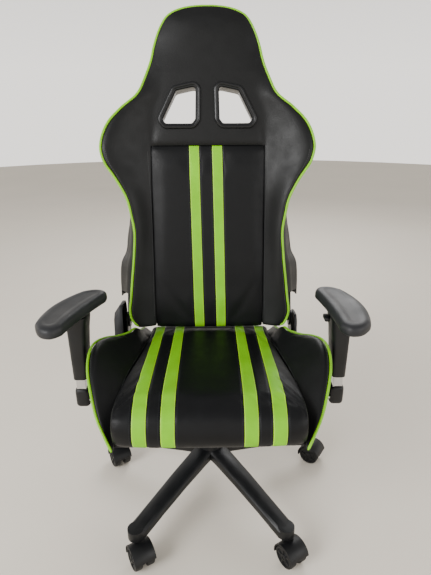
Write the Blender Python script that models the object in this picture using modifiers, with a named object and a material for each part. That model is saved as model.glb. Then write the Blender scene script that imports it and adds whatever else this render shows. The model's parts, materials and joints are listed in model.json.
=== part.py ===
"""Gaming chair: a bucket seat with a reclining backrest and adjustable armrests, on a tilt
mechanism, a gas lift and a five-star base with twin-wheel casters.

Metres, +Z up. The chair faces -Y and the sitter's right-hand side is -X. The origin lies on
the floor under the gas lift. Moving pieces hang on empties that stand on their joint axes.
"""

import math

import bmesh
import bpy
from mathutils import Matrix, Vector

GAP = 0.0003  # between pieces that touch

# Five-star base
LEG_ANGLES = {"front_left": -126, "front_right": -54, "side_right": 18, "rear": 90, "side_left": 162}
LEG_REACH = 0.320  # lift axis to caster stem
LEG_SECTIONS = (  # distance from the lift axis, half width, underside height, top height
    (0.020, 0.0275, 0.117, 0.148),
    (0.060, 0.0268, 0.115, 0.1445),
    (0.150, 0.0255, 0.104, 0.1305),
    (0.240, 0.0240, 0.088, 0.1125),
    (0.318, 0.0225, 0.0705, 0.0985),
    (0.334, 0.0150, 0.0705, 0.0975),
)
LEG_CHAMFER = 0.008
LEG_WALL = 0.004
HUB_RADIUS = 0.041
HUB_BOTTOM, HUB_TOP = 0.113, 0.160

# Casters
WHEEL_RADIUS = 0.030
WHEEL_INNER, WHEEL_OUTER = 0.0065, 0.0265  # faces of a wheel, from the caster's middle plane
CASTER_TRAIL = 0.024  # swivel axis to axle
TRAIL_ANGLES = {"front_left": -60, "front_right": -58, "side_right": -35, "rear": -75, "side_left": -60}
AXLE_RADIUS = 0.004
HOOD_RADIUS = 0.0345
HOOD_THICKNESS = 0.003
HOOD_HALF_WIDTH = 0.028
HOOD_TOP = 0.0664
STEM_RADIUS = 0.0055
STEM_BOTTOM, STEM_TOP = 0.0560, 0.0950

# Gas lift
CYLINDER_RADIUS, CYLINDER_BORE = 0.025, 0.0145
CYLINDER_BOTTOM, CYLINDER_TOP = 0.105, 0.280
COLUMN_RADIUS = 0.014
COLUMN_BOTTOM, COLUMN_TOP = 0.155, 0.346
COLUMN_BORE = 0.0108
ROD_RADIUS = 0.004
ROD_BOTTOM, ROD_TOP = 0.098, 0.248

# Tilt mechanism
TILT_Y, TILT_Z = -0.070, 0.372  # tilt pin
TILT_PIN_RADIUS = 0.006
HOUSING_HALF_WIDTH = 0.040
HOUSING_BOTTOM = 0.325
HOUSING_FRONT, HOUSING_REAR = -0.112, 0.085
KNOB_Y = -0.086
LEVER_X, LEVER_Z = -0.040, 0.3575  # where the lift lever turns in the housing wall

# Seat
BOARD_BOTTOM, BOARD_TOP = 0.386, 0.398
BOARD_FRONT, BOARD_REAR = -0.292, 0.135
BOARD_FRONT_HALF, BOARD_REAR_HALF = 0.205, 0.232
CUSHION_REAR_HALF, CUSHION_FRONT_HALF = 0.165, 0.205
CUSHION_FRONT, CUSHION_REAR = -0.346, 0.105
SEAT_SEAM_GAP = 0.0006
BOLSTER_STATIONS = (  # y, seam height, crest x, crest height
    (0.076, 0.452, 0.186, 0.474),
    (0.064, 0.458, 0.188, 0.484),
    (0.045, 0.464, 0.192, 0.494),
    (0.030, 0.472, 0.202, 0.508),
    (0.000, 0.478, 0.214, 0.514),
    (-0.030, 0.480, 0.238, 0.520),
    (-0.060, 0.482, 0.263, 0.532),
    (-0.100, 0.484, 0.279, 0.542),
    (-0.150, 0.486, 0.282, 0.541),
    (-0.200, 0.484, 0.276, 0.523),
    (-0.250, 0.468, 0.260, 0.492),
    (-0.295, 0.438, 0.240, 0.458),
    (-0.325, 0.413, 0.218, 0.427),
    (-0.334, 0.406, 0.212, 0.413),
)

# Backrest, in its own frame: Z runs up the back, Y to the rear, from the recline axis
RECLINE_Y, RECLINE_Z = 0.1042, 0.4993
RECLINE_REST = 10  # degrees from upright
PAD_FRONT = -0.050
PAD_REAR = -0.0055
PANEL_HALF = 0.1475
HEAD_SEAM = 0.478
BACK_OUTLINE = (  # height, half width at the piping, piping ahead of (-) or behind (+) the pad front
    (0.006, 0.2020, -0.013),
    (0.033, 0.2150, -0.017),
    (0.080, 0.2105, -0.019),
    (0.120, 0.2060, -0.021),
    (0.203, 0.1960, -0.027),
    (0.264, 0.1925, -0.031),
    (0.302, 0.1980, -0.035),
    (0.340, 0.2055, -0.039),
    (0.399, 0.2354, -0.042),
    (0.436, 0.2590, -0.044),
    (0.474, 0.2665, -0.043),
    (0.491, 0.2634, -0.041),
    (0.529, 0.2484, -0.032),
    (0.567, 0.2144, -0.021),
    (0.604, 0.1720, -0.011),
    (0.643, 0.1536, -0.002),
    (0.680, 0.1393, 0.004),
    (0.718, 0.1300, 0.010),
    (0.750, 0.1186, 0.012),
    (0.787, 0.0937, 0.014),
    (0.800, 0.0650, 0.015),
    (0.806, 0.0300, 0.015),
)
COVER_OUTLINE = (  # height, half width of the rear cover
    (0.012, 0.2480),
    (0.050, 0.2485),
    (0.092, 0.2490),
    (0.120, 0.2490),
    (0.180, 0.2400),
    (0.192, 0.2330),
    (0.240, 0.2240),
    (0.330, 0.2140),
    (0.400, 0.2350),
    (0.450, 0.2570),
    (0.478, 0.2610),
    (0.530, 0.2440),
    (0.570, 0.2080),
    (0.604, 0.1690),
    (0.643, 0.1505),
    (0.680, 0.1365),
    (0.718, 0.1270),
    (0.750, 0.1160),
    (0.787, 0.0910),
    (0.800, 0.0620),
    (0.805, 0.0280),
)
COVER_REAR = 0.038
COVER_WALL = 0.003
HINGE_NOTCH_TOP = 0.088  # the bolsters clear the hinge plates below this height
COVER_NOTCH_TOP = 0.072  # and the rear shell below this one
HINGE_NOTCH_HALF = 0.2240
STRAP_HOLE = ((0.030, 0.618), (0.078, 0.608), (0.113, 0.541), (0.106, 0.532), (0.040, 0.532), (0.032, 0.542))
BEZEL_SLEEVE = 0.002
BEZEL_LIP = 0.011
BEZEL_FRONT = -0.0600
BACK_TUBE = (  # half of the hoop: across, up
    (0.2180, 0.020),
    (0.2180, 0.120),
    (0.2050, 0.200),
    (0.1880, 0.300),
    (0.1980, 0.390),
    (0.2150, 0.460),
    (0.2050, 0.530),
    (0.1600, 0.590),
    (0.1280, 0.650),
    (0.1080, 0.710),
    (0.0800, 0.762),
    (0.0300, 0.780),
)
TUBE_RADIUS = 0.010
TUBE_Y = 0.007

# Recline hinges, from the middle of the chair outwards
BACK_PLATE = (0.2265, 0.2315)
SEAT_PLATE = (0.2325, 0.2375)
HINGE_COVER = {"left": (0.2405, 0.2660), "right": (0.2385, 0.2455)}  # the left one houses the catch
SHAFT_RADIUS = 0.006
SHAFT_CLEAR = 0.008  # padding below this height steps back from the shaft
CATCH_Y, CATCH_Z = 0.085, 0.438  # where the recline lever turns
CATCH_X = (-0.2690, -0.2780)

# Armrests
ARM_X, ARM_Y = 0.3215, -0.100  # middle of the upright
COLUMN_HALF_X, COLUMN_HALF_Y = 0.0115, 0.022
ARM_COLUMN_TOP = 0.565
ARM_BAR = 0.006  # thickness of the bar under the board
BOOT_BOTTOM, BOOT_TOP = 0.364, 0.418
SLEEVE_BOTTOM, SLEEVE_BORE_TOP, SLEEVE_TOP = 0.445, 0.588, 0.615
SLEEVE_OUTER = 0.3385
SLEEVE_SECTIONS = (  # height, inner face, half length
    (SLEEVE_BOTTOM, 0.3050, 0.0270),
    (0.500, 0.3010, 0.0280),
    (0.570, 0.2950, 0.0295),
    (0.600, 0.2910, 0.0320),
    (SLEEVE_TOP, 0.2900, 0.0335),
)
ARM_CATCH_Z = 0.600
PAD_TURN_X = 0.3145
PAD_PLATE_BOTTOM, PAD_BOTTOM, PAD_TOP = 0.6155, 0.6236, 0.650
PAD_LENGTH, PAD_WIDTH, PAD_BOW = 0.238, 0.083, 0.020
PAD_FORWARD, PAD_INWARD = 0.033, 0.009
TOE_OUT = {"left": 18.0, "right": 5.0}

SIDES = {"left": -1, "right": 1}
COLOURS = {  # sRGB, roughness, metallic
    "nylon": ("1B1C1E", 0.42, 0.0),
    "steel": ("B9BCBF", 0.28, 1.0),
    "painted_steel": ("17181A", 0.45, 0.6),
    "leather": ("141516", 0.40, 0.0),
    "leather_rear": ("202124", 0.45, 0.0),
    "pad": ("2B2C30", 0.50, 0.0),
    "plywood": ("B08A5B", 0.65, 0.0),
    "hard_plastic": ("2E2F33", 0.38, 0.0),
}


# --- scene, materials and collections -------------------------------------------------------


def clear_scene():
    for obj in list(bpy.data.objects):
        bpy.data.objects.remove(obj, do_unlink=True)


def collection(name):
    made = bpy.data.collections.new(name)
    bpy.context.scene.collection.children.link(made)
    return made


def linear(channel):
    return channel / 12.92 if channel <= 0.04045 else ((channel + 0.055) / 1.055) ** 2.4


def material(name):
    found = bpy.data.materials.get(name)
    if found:
        return found
    code, roughness, metallic = COLOURS[name]
    made = bpy.data.materials.new(name)
    made.use_nodes = True
    shader = made.node_tree.nodes["Principled BSDF"]
    channels = [linear(int(code[i : i + 2], 16) / 255) for i in (0, 2, 4)]
    shader.inputs["Base Color"].default_value = (*channels, 1)
    shader.inputs["Roughness"].default_value = roughness
    shader.inputs["Metallic"].default_value = metallic
    return made


def empty(name, place, rotation_x=0.0, rotation_z=0.0, parent=None):
    """An empty on a joint axis, placed in world coordinates."""
    made = bpy.data.objects.new(name, None)
    made.empty_display_size = 0.05
    PARTS.objects.link(made)
    made.matrix_world = (
        Matrix.Translation(place)
        @ Matrix.Rotation(math.radians(rotation_z), 4, "Z")
        @ Matrix.Rotation(math.radians(rotation_x), 4, "X")
    )
    if parent:
        made.parent = parent
        bpy.context.view_layer.update()
        made.matrix_parent_inverse = parent.matrix_world.inverted()
    bpy.context.view_layer.update()
    return made


def node(name, mesh, paint, parent=None, local=False):
    """A named piece. Its mesh is in world coordinates, or in its parent's where local is set."""
    made = bpy.data.objects.new(name, mesh)
    PARTS.objects.link(made)
    if not mesh.materials:
        mesh.materials.append(material(paint))
    if parent:
        made.parent = parent
        if not local:
            made.matrix_parent_inverse = parent.matrix_world.inverted()
    return made


# --- shapes, each returned as a mesh --------------------------------------------------------


def finished(bm, name, smooth=True):
    bmesh.ops.recalc_face_normals(bm, faces=bm.faces)
    mesh = bpy.data.meshes.new(name)
    bm.to_mesh(mesh)
    bm.free()
    if smooth:
        mesh.shade_smooth()
        mesh.set_sharp_from_angle(angle=math.radians(35))
    return mesh


def evaluated(obj):
    """The object's mesh with its modifiers applied and its caps welded; the object is removed."""
    bpy.context.view_layer.update()
    graph = bpy.context.evaluated_depsgraph_get()
    mesh = bpy.data.meshes.new_from_object(obj.evaluated_get(graph))
    mesh.transform(obj.matrix_world)
    bm = bmesh.new()
    bm.from_mesh(mesh)
    bmesh.ops.remove_doubles(bm, verts=bm.verts, dist=0.00001)
    bmesh.ops.recalc_face_normals(bm, faces=bm.faces)
    bm.to_mesh(mesh)
    bm.free()
    bpy.data.objects.remove(obj, do_unlink=True)
    mesh.shade_smooth()
    mesh.set_sharp_from_angle(angle=math.radians(35))
    return mesh


def temporary(data):
    obj = bpy.data.objects.new("temporary", data)
    bpy.context.scene.collection.objects.link(obj)
    return obj


def box(corner, opposite):
    bm = bmesh.new()
    size = [abs(b - a) for a, b in zip(corner, opposite)]
    middle = [(a + b) / 2 for a, b in zip(corner, opposite)]
    bmesh.ops.create_cube(bm, size=1, matrix=Matrix.Translation(middle) @ Matrix.Diagonal((*size, 1)))
    return finished(bm, "box", smooth=False)


def rounded_box(low, high, radius, segments=2):
    obj = temporary(box(low, high))
    bevel = obj.modifiers.new("edges", "BEVEL")
    bevel.width = radius
    bevel.segments = segments
    return evaluated(obj)


def rod(start, end, radius, segments=16):
    """A cylinder between two points."""
    start, end = Vector(start), Vector(end)
    axis = end - start
    turn = Vector((0, 0, 1)).rotation_difference(axis).to_matrix().to_4x4()
    bm = bmesh.new()
    bmesh.ops.create_cone(
        bm,
        cap_ends=True,
        segments=segments,
        radius1=radius,
        radius2=radius,
        depth=axis.length,
        matrix=Matrix.Translation((start + end) / 2) @ turn,
    )
    return finished(bm, "rod")


def turned(profile, steps, place=(0, 0, 0), closed=False, lay_on_y=False):
    """A profile of (radius, height) points, run down its outer side, turned about the Z axis."""
    mesh = bpy.data.meshes.new("profile")
    edges = [(i, i + 1) for i in range(len(profile) - 1)]
    if closed:
        edges.append((len(profile) - 1, 0))
    mesh.from_pydata([(r, 0, z) for r, z in profile], edges, [])
    obj = temporary(mesh)
    screw = obj.modifiers.new("turn", "SCREW")
    screw.steps = screw.render_steps = steps
    screw.use_merge_vertices = True
    screw.merge_threshold = 0.00001
    obj.matrix_world = Matrix.Translation(place) @ Matrix.Rotation(math.pi / 2 if lay_on_y else 0, 4, "X")
    return evaluated(obj)


def extruded(outline, low, high, axis="Z"):
    """A flat outline of (a, b) points, pushed from low to high along an axis.

    The outline is in XY for axis Z, in (Y, Z) for axis X and in (X, Z) for axis Y."""
    place = {
        "Z": lambda a, b, c: (a, b, c),
        "X": lambda a, b, c: (c, a, b),
        "Y": lambda a, b, c: (a, c, b),
    }[axis]
    return loft([[place(a, b, c) for a, b in outline] for c in (low, high)])


def loft(rings, smooth=True):
    """A skin over rings of equally many points, with the first and last ring capped."""
    bm = bmesh.new()
    rows = [[bm.verts.new(point) for point in ring] for ring in rings]
    count = len(rows[0])
    for here, there in zip(rows, rows[1:]):
        for i in range(count):
            bm.faces.new((here[i], here[(i + 1) % count], there[(i + 1) % count], there[i]))
    bm.faces.new(rows[0])
    bm.faces.new(reversed(rows[-1]))
    return finished(bm, "loft", smooth)


def tube(points, radius, segments=2, cyclic=False):
    """A round tube along points, with filled caps."""
    curve = bpy.data.curves.new("tube", "CURVE")
    curve.dimensions = "3D"
    curve.bevel_depth = radius
    curve.bevel_resolution = segments
    curve.use_fill_caps = not cyclic
    spline = curve.splines.new("POLY")
    spline.points.add(len(points) - 1)
    spline.use_cyclic_u = cyclic
    for target, point in zip(spline.points, points):
        target.co = (*point, 1)
    return evaluated(temporary(curve))


def combined(first, others, operation):
    """The first mesh with the others joined to it or cut from it, as one mesh."""
    obj = temporary(first)
    helpers = []
    for other in others:
        helper = bpy.data.objects.new("cutter", other)
        CUTTERS.objects.link(helper)
        helper.hide_render = True
        helper.display_type = "WIRE"
        helpers.append(helper)
        boolean = obj.modifiers.new("cut", "BOOLEAN")
        boolean.operation = operation
        boolean.object = helper
    mesh = evaluated(obj)
    for helper in helpers:
        bpy.data.objects.remove(helper, do_unlink=True)
    return mesh


def joined(first, *others):
    return combined(first, others, "UNION")


def cut(first, *others):
    return combined(first, others, "DIFFERENCE")


def mirrored(mesh):
    """The mesh reflected in the chair's middle plane."""
    made = mesh.copy()
    made.transform(Matrix.Diagonal((-1, 1, 1, 1)))
    made.flip_normals()
    return made


def moved(mesh, matrix):
    made = mesh.copy()
    made.transform(matrix)
    return made


def between(table, x, column):
    """Reads a column of a table at x by straight lines between its rows."""
    rows = sorted(table)
    if x <= rows[0][0]:
        return rows[0][column]
    for low, high in zip(rows, rows[1:]):
        if x <= high[0]:
            part = (x - low[0]) / (high[0] - low[0])
            return low[column] + part * (high[column] - low[column])
    return rows[-1][column]


def rounded_outline(half_x, half_y, radius, steps=3):
    """A rectangle with rounded corners, anticlockwise, as (a, b) points."""
    points = []
    for quarter, (sx, sy) in enumerate(((1, 1), (-1, 1), (-1, -1), (1, -1))):
        for i in range(steps + 1):
            angle = math.radians(90 * (quarter + i / steps))
            x = sx * (half_x - radius) + radius * math.cos(angle)
            y = sy * (half_y - radius) + radius * math.sin(angle)
            points.append((x, y))
    return points


def arc(centre, radius, start, end, steps):
    """Points on an arc, with its ends, angles in degrees."""
    return [
        (
            centre[0] + radius * math.cos(math.radians(start + (end - start) * i / steps)),
            centre[1] + radius * math.sin(math.radians(start + (end - start) * i / steps)),
        )
        for i in range(steps + 1)
    ]


# --- base and casters -----------------------------------------------------------------------


def leg_ring(distance, half, low, high, chamfer):
    outline = [
        (half, low),
        (half, high - chamfer),
        (half - 0.8 * chamfer, high - 0.3 * chamfer),
        (0, high),
        (-half + 0.8 * chamfer, high - 0.3 * chamfer),
        (-half, high - chamfer),
        (-half, low),
    ]
    return [(distance, y, z) for y, z in outline]


def leg():
    """One leg along +X, hollow from below."""
    solid = loft([leg_ring(*section, LEG_CHAMFER) for section in LEG_SECTIONS])
    hollow = loft(
        [
            leg_ring(distance, half - LEG_WALL, low - 0.002, high - LEG_WALL, LEG_CHAMFER)
            for distance, half, low, high in ((0.056, 0.0269, 0.115, 0.1448), *LEG_SECTIONS[2:4])
        ]
    )
    socket = rod((LEG_REACH, 0, 0.0705), (LEG_REACH, 0, 0.098), 0.0210, 20)
    return joined(cut(solid, hollow), socket)


def make_base():
    leg_mesh = leg()
    legs = [
        moved(leg_mesh, Matrix.Rotation(math.radians(angle), 4, "Z")) for angle in LEG_ANGLES.values()
    ]
    hub = rod((0, 0, HUB_BOTTOM), (0, 0, HUB_TOP), HUB_RADIUS, 32)
    bores = [rod((0, 0, 0.08), (0, 0, 0.20), CYLINDER_RADIUS + GAP, 32)]
    for angle in LEG_ANGLES.values():
        x = LEG_REACH * math.cos(math.radians(angle))
        y = LEG_REACH * math.sin(math.radians(angle))
        bores.append(rod((x, y, 0.060), (x, y, STEM_TOP + 0.0005), STEM_RADIUS + GAP, 16))
    node("star_base", cut(joined(hub, *legs), *bores), "nylon")
    low, high = CYLINDER_BOTTOM, CYLINDER_TOP
    bottom_hole = ROD_RADIUS + 0.0005
    profile = [
        (CYLINDER_RADIUS, high),
        (CYLINDER_RADIUS, low),
        (bottom_hole, low),
        (bottom_hole, low + 0.005),
        (CYLINDER_BORE, low + 0.005),
        (CYLINDER_BORE, high),
    ]
    node("lift_cylinder", turned(profile, 28, closed=True), "painted_steel")


def hood_mesh():
    """A fender over both wheels with a middle web, the axle and a boss for the stem.

    In the caster's frame: the stem is on Z, the axle is CASTER_TRAIL along +X."""
    axle = (CASTER_TRAIL, WHEEL_RADIUS)
    outline = arc(axle, HOOD_RADIUS, 12, 192, 14)
    outline += [(axle[0] - 0.010, axle[1] - 0.009), (axle[0] + 0.008, axle[1] - 0.009)]
    fender = extruded(outline, -HOOD_HALF_WIDTH, HOOD_HALF_WIDTH, "Y")
    boss = rod((0, 0, 0.050), (0, 0, HOOD_TOP), 0.0100, 14)
    rooms = []
    for side in SIDES.values():
        inner, outer = ((axle[0], side * reach, axle[1]) for reach in (0.0060, 0.040))
        rooms.append(rod(inner, outer, HOOD_RADIUS - HOOD_THICKNESS, 32))
    pin = rod((axle[0], -0.0255, axle[1]), (axle[0], 0.0255, axle[1]), AXLE_RADIUS, 12)
    stem_bore = rod((0, 0, STEM_BOTTOM - 0.0005), (0, 0, 0.10), STEM_RADIUS + GAP, 12)
    return cut(joined(cut(joined(fender, boss), *rooms), pin), stem_bore)


def wheel_mesh():
    """A wheel on the Y axis, its recessed face towards +Y, seen from the caster's middle."""
    bore = AXLE_RADIUS + GAP
    low, high = -WHEEL_OUTER, -WHEEL_INNER
    profile = [
        (WHEEL_RADIUS - 0.002, high),
        (WHEEL_RADIUS, high - 0.003),
        (WHEEL_RADIUS, low + 0.005),
        (WHEEL_RADIUS - 0.003, low),
        (WHEEL_RADIUS - 0.007, low),
        (WHEEL_RADIUS - 0.009, low + 0.004),
        (0.0090, low + 0.004),
        (0.0080, low),
        (bore, low),
        (bore, high),
    ]
    return turned(profile, 20, closed=True, lay_on_y=True)


def stem_mesh():
    collar = (HOOD_TOP + GAP, HOOD_TOP + 0.0036)
    profile = [
        (0, STEM_TOP),
        (STEM_RADIUS - 0.001, STEM_TOP),
        (STEM_RADIUS, STEM_TOP - 0.002),
        (STEM_RADIUS, collar[1]),
        (0.0090, collar[1]),
        (0.0090, collar[0]),
        (STEM_RADIUS, collar[0]),
        (STEM_RADIUS, STEM_BOTTOM),
        (0, STEM_BOTTOM),
    ]
    return turned(profile, 12)


def make_casters():
    hood, right_wheel, stem = hood_mesh(), wheel_mesh(), stem_mesh()
    left_wheel = moved(right_wheel, Matrix.Rotation(math.pi, 4, "Z"))
    for name, angle in LEG_ANGLES.items():
        x = LEG_REACH * math.cos(math.radians(angle))
        y = LEG_REACH * math.sin(math.radians(angle))
        swivel = empty(f"caster_{name}_swivel", (x, y, 0), rotation_z=TRAIL_ANGLES[name])
        node(f"caster_{name}_stem", stem, "steel", swivel, local=True)
        node(f"caster_{name}_hood", hood, "nylon", swivel, local=True)
        for side, mesh in (("left", left_wheel), ("right", right_wheel)):
            wheel = node(f"caster_{name}_wheel_{side}", mesh, "nylon", swivel, local=True)
            wheel.location = (CASTER_TRAIL, 0, WHEEL_RADIUS)


# --- gas lift and mechanism -----------------------------------------------------------------


def make_lift():
    swivel = empty("chair_swivel_axis", (0, 0, CYLINDER_BOTTOM))
    clip = CYLINDER_BOTTOM - GAP
    piston = COLUMN_BORE - GAP
    profile = [
        (0, ROD_TOP),
        (piston, ROD_TOP),
        (piston, ROD_TOP - 0.010),
        (ROD_RADIUS, ROD_TOP - 0.010),
        (ROD_RADIUS, clip),
        (0.0090, clip),
        (0.0090, clip - 0.003),
        (ROD_RADIUS, clip - 0.003),
        (ROD_RADIUS, ROD_BOTTOM),
        (0, ROD_BOTTOM),
    ]
    node("lift_rod", turned(profile, 16), "steel", swivel)
    height = empty("seat_height_axis", (0, 0, COLUMN_BOTTOM), parent=swivel)
    profile = [
        (0, COLUMN_TOP + 0.002),
        (0.004, COLUMN_TOP + 0.002),
        (0.004, COLUMN_TOP),
        (COLUMN_RADIUS, COLUMN_TOP),
        (COLUMN_RADIUS, COLUMN_BOTTOM),
        (ROD_RADIUS + 0.0005, COLUMN_BOTTOM),
        (ROD_RADIUS + 0.0005, COLUMN_BOTTOM + 0.010),
        (COLUMN_BORE, COLUMN_BOTTOM + 0.010),
        (COLUMN_BORE, 0.300),
        (0, 0.300),
    ]
    node("lift_column", turned(profile, 24), "steel", height)
    profile = [(0.0350, 0.3225), (0.0360, 0.205), (0.0340, 0.205), (0.0330, 0.3225)]
    node("dust_cover", turned(profile, 28, closed=True), "nylon", height)
    return height


def housing_mesh():
    """A steel channel, open at the top, with bosses for the tilt pin and the lift column."""
    half = HOUSING_HALF_WIDTH
    outline = [
        (HOUSING_FRONT, HOUSING_BOTTOM),
        (HOUSING_REAR, HOUSING_BOTTOM),
        (HOUSING_REAR, 0.3430),
        (-0.0560, 0.3730),
        (-0.0600, 0.3760),
        (-0.0665, 0.3790),
        (-0.0800, 0.3790),
        (HOUSING_FRONT, 0.3600),
    ]
    solid = extruded(outline, -half, half, "X")
    wall = 0.003
    low_corner = (-half + wall, HOUSING_FRONT + wall, HOUSING_BOTTOM + wall)
    room = box(low_corner, (half - wall, HOUSING_REAR - wall, 0.40))
    pin_boss = rod((-half, TILT_Y, TILT_Z - 0.0020), (half, TILT_Y, TILT_Z - 0.0020), 0.0095, 20)
    column_boss = rod((0, 0, HOUSING_BOTTOM), (0, 0, 0.3445), 0.0200, 24)
    pin_bore = rod((-0.06, TILT_Y, TILT_Z), (0.06, TILT_Y, TILT_Z), TILT_PIN_RADIUS + GAP, 16)
    column_bore = rod((0, 0, 0.30), (0, 0, 0.36), COLUMN_RADIUS + GAP, 24)
    notch = box((LEVER_X - 0.002, -0.006, 0.3505), (LEVER_X + 0.006, 0.006, 0.40))
    channel = joined(cut(solid, room), pin_boss, column_boss)
    return cut(channel, pin_bore, column_bore, notch)


def knob_mesh():
    """The tension knob: a fluted grip with a stub that meets the housing."""
    low, high, radius, flutes = 0.288, 0.3195, 0.0270, 10
    ring = []
    for i in range(flutes * 4):
        angle = math.tau * i / (flutes * 4)
        wave = 0.0015 * math.cos(flutes * angle)
        ring.append((radius + wave, angle))
    rows = ((low, 0.82), (low + 0.004, 1.0), (high - 0.003, 1.0), (high, 0.90))
    grip = loft(
        [[(r * k * math.cos(a), KNOB_Y + r * k * math.sin(a), z) for r, a in ring] for z, k in rows]
    )
    stub = rod((0, KNOB_Y, high - 0.002), (0, KNOB_Y, HOUSING_BOTTOM - 0.0005), 0.0080, 16)
    return joined(grip, stub)


def lift_lever_mesh():
    """A bent rod out to the sitter's right, ending in a flat paddle."""
    path = [
        (0.003, 0, LEVER_Z),
        (-0.048, 0, LEVER_Z),
        (-0.058, 0, LEVER_Z - 0.0015),
        (-0.090, -0.002, 0.3500),
        (-0.190, -0.012, 0.3370),
        (-0.225, -0.016, 0.3340),
    ]
    widths = (  # x, middle y, half width
        (-0.212, -0.0145, 0.007),
        (-0.228, -0.0165, 0.015),
        (-0.262, -0.020, 0.018),
        (-0.268, -0.021, 0.013),
    )
    paddle = loft(
        [
            [(x, middle_y + a, 0.3335 + b) for a, b in rounded_outline(half, 0.0045, 0.003, 2)]
            for x, middle_y, half in widths
        ]
    )
    return joined(tube(path, 0.0035), paddle)


def make_mechanism(height):
    node("mechanism_housing", housing_mesh(), "painted_steel", height)
    pin = rod((-0.0495, TILT_Y, TILT_Z), (0.0495, TILT_Y, TILT_Z), TILT_PIN_RADIUS, 16)
    node("tilt_pin", pin, "steel", height)
    knob_axis = empty("tension_axis", (0, KNOB_Y, HOUSING_BOTTOM), parent=height)
    node("tension_knob", knob_mesh(), "nylon", knob_axis)
    lever_axis = empty("lift_lever_axis", (LEVER_X, 0, LEVER_Z), parent=height)
    node("lift_lever", lift_lever_mesh(), "painted_steel", lever_axis)


# --- seat -----------------------------------------------------------------------------------


def board_half(y):
    part = (y - BOARD_FRONT) / (BOARD_REAR - BOARD_FRONT)
    return BOARD_FRONT_HALF + part * (BOARD_REAR_HALF - BOARD_FRONT_HALF)


def cushion_half(y):
    part = min(1, max(0, (0.070 - y) / 0.398))
    return CUSHION_REAR_HALF + part * (CUSHION_FRONT_HALF - CUSHION_REAR_HALF)


def tilt_plate_mesh():
    plate = rounded_box((-0.0560, -0.098, 0.3805), (0.0560, 0.098, 0.3855), 0.001, 1)
    ears, bores = [], []
    for side in SIDES.values():
        x = sorted((side * 0.0415, side * 0.0465))
        outline = [(-0.086, 0.381), (-0.080, 0.364), (-0.074, 0.3605)]
        outline += [(-0.066, 0.3605), (-0.060, 0.364), (-0.054, 0.381)]
        ears.append(extruded(outline, *x, "X"))
        ends = [(side * reach, TILT_Y, TILT_Z) for reach in (0.040, 0.050)]
        bores.append(rod(*ends, TILT_PIN_RADIUS + GAP, 16))
    return cut(joined(plate, *ears), *bores)


def board_mesh():
    front, rear = BOARD_FRONT, BOARD_REAR
    outline = [
        (BOARD_FRONT_HALF - 0.03, front),
        (BOARD_FRONT_HALF - 0.009, front + 0.009),
        (BOARD_FRONT_HALF, front + 0.03),
        (BOARD_REAR_HALF, rear - 0.01),
        (BOARD_REAR_HALF - 0.01, rear),
    ]
    outline += [(-x, y) for x, y in reversed(outline)]
    return extruded(outline, BOARD_BOTTOM, BOARD_TOP)


def cushion_mesh():
    low = BOARD_TOP + GAP
    stations = (  # y, underside, top
        (CUSHION_FRONT, low + 0.019, 0.462),
        (-0.341, low + 0.007, 0.481),
        (-0.328, low + 0.002, 0.4940),
        (-0.300, low, 0.5010),
        (-0.240, low, 0.5030),
        (-0.160, low, 0.5010),
        (-0.080, low, 0.4960),
        (0.000, low, 0.4910),
        (0.060, low, 0.4880),
        (0.086, low, 0.4860),
        (0.098, low, 0.4760),
        (CUSHION_REAR, low, 0.4620),
    )
    rings = []
    for y, bottom, top in stations:
        half = cushion_half(y) - (0.010 if y == CUSHION_FRONT else 0)
        side = [(half, bottom), (half, top - 0.013), (0.93 * half, top - 0.003), (0.5 * half, top)]
        outline = side + [(0, top + 0.001)] + [(-x, z) for x, z in reversed(side)]
        rings.append([(x, y, z) for x, z in outline])
    return loft(rings)


def seat_bolster_mesh():
    """The right bolster: a ridge from the cushion's seam up to the piping and down to the board."""
    low = BOARD_TOP + GAP
    rings = []
    for y, seam, crest_x, crest_z in BOLSTER_STATIONS:
        inner = cushion_half(y) + SEAT_SEAM_GAP
        foot = max(inner + 0.006, min(board_half(y), crest_x) - 0.004)
        rise, reach = crest_z - seam, crest_x - inner
        outline = [
            (inner, low),
            (inner, seam),
            (inner + 0.30 * reach, seam + 0.22 * rise),
            (inner + 0.62 * reach, seam + 0.62 * rise),
            (crest_x - 0.16 * reach, crest_z - 0.06 * rise),
            (crest_x, crest_z - 0.10 * rise),
            (crest_x, crest_z - 0.45 * (crest_z - low)),
            (foot + 0.55 * (crest_x - foot), low + 0.25 * (crest_z - low)),
            (foot, low),
        ]
        rings.append([(x, y, z) for x, z in outline])
    return loft(rings)


def arm_bracket_mesh():
    """The right arm's bar under the board, with the hollow upright at its end."""
    high = BOARD_BOTTOM - GAP
    inner, outer = ARM_X - COLUMN_HALF_X, ARM_X + COLUMN_HALF_X
    outline = [
        (0.060, high),
        (inner, high),
        (inner, ARM_COLUMN_TOP),
        (outer, ARM_COLUMN_TOP),
        (outer, high - ARM_BAR),
        (0.060, high - ARM_BAR),
    ]
    low_y, high_y = ARM_Y - COLUMN_HALF_Y, ARM_Y + COLUMN_HALF_Y
    hollow = box((inner + 0.002, low_y + 0.002, high + 0.002), (outer - 0.002, high_y - 0.002, 0.60))
    return cut(extruded(outline, low_y, high_y, "Y"), hollow)


def arm_boot_mesh():
    """The moulded shoe round the foot of the right upright."""
    low_corner = (ARM_X - 0.0175, ARM_Y - 0.028, BOOT_BOTTOM)
    shell = rounded_box(low_corner, (ARM_X + 0.0175, ARM_Y + 0.028, BOOT_TOP), 0.010, 3)
    room_x, room_y = COLUMN_HALF_X + GAP, COLUMN_HALF_Y + GAP
    high = BOARD_BOTTOM
    low = high - ARM_BAR - 2 * GAP
    upright = box((ARM_X - room_x, ARM_Y - room_y, low), (ARM_X + room_x, ARM_Y + room_y, 0.43))
    bar = box((ARM_X - 0.040, ARM_Y - room_y, low), (ARM_X, ARM_Y + room_y, high))
    return cut(shell, upright, bar)


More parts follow.
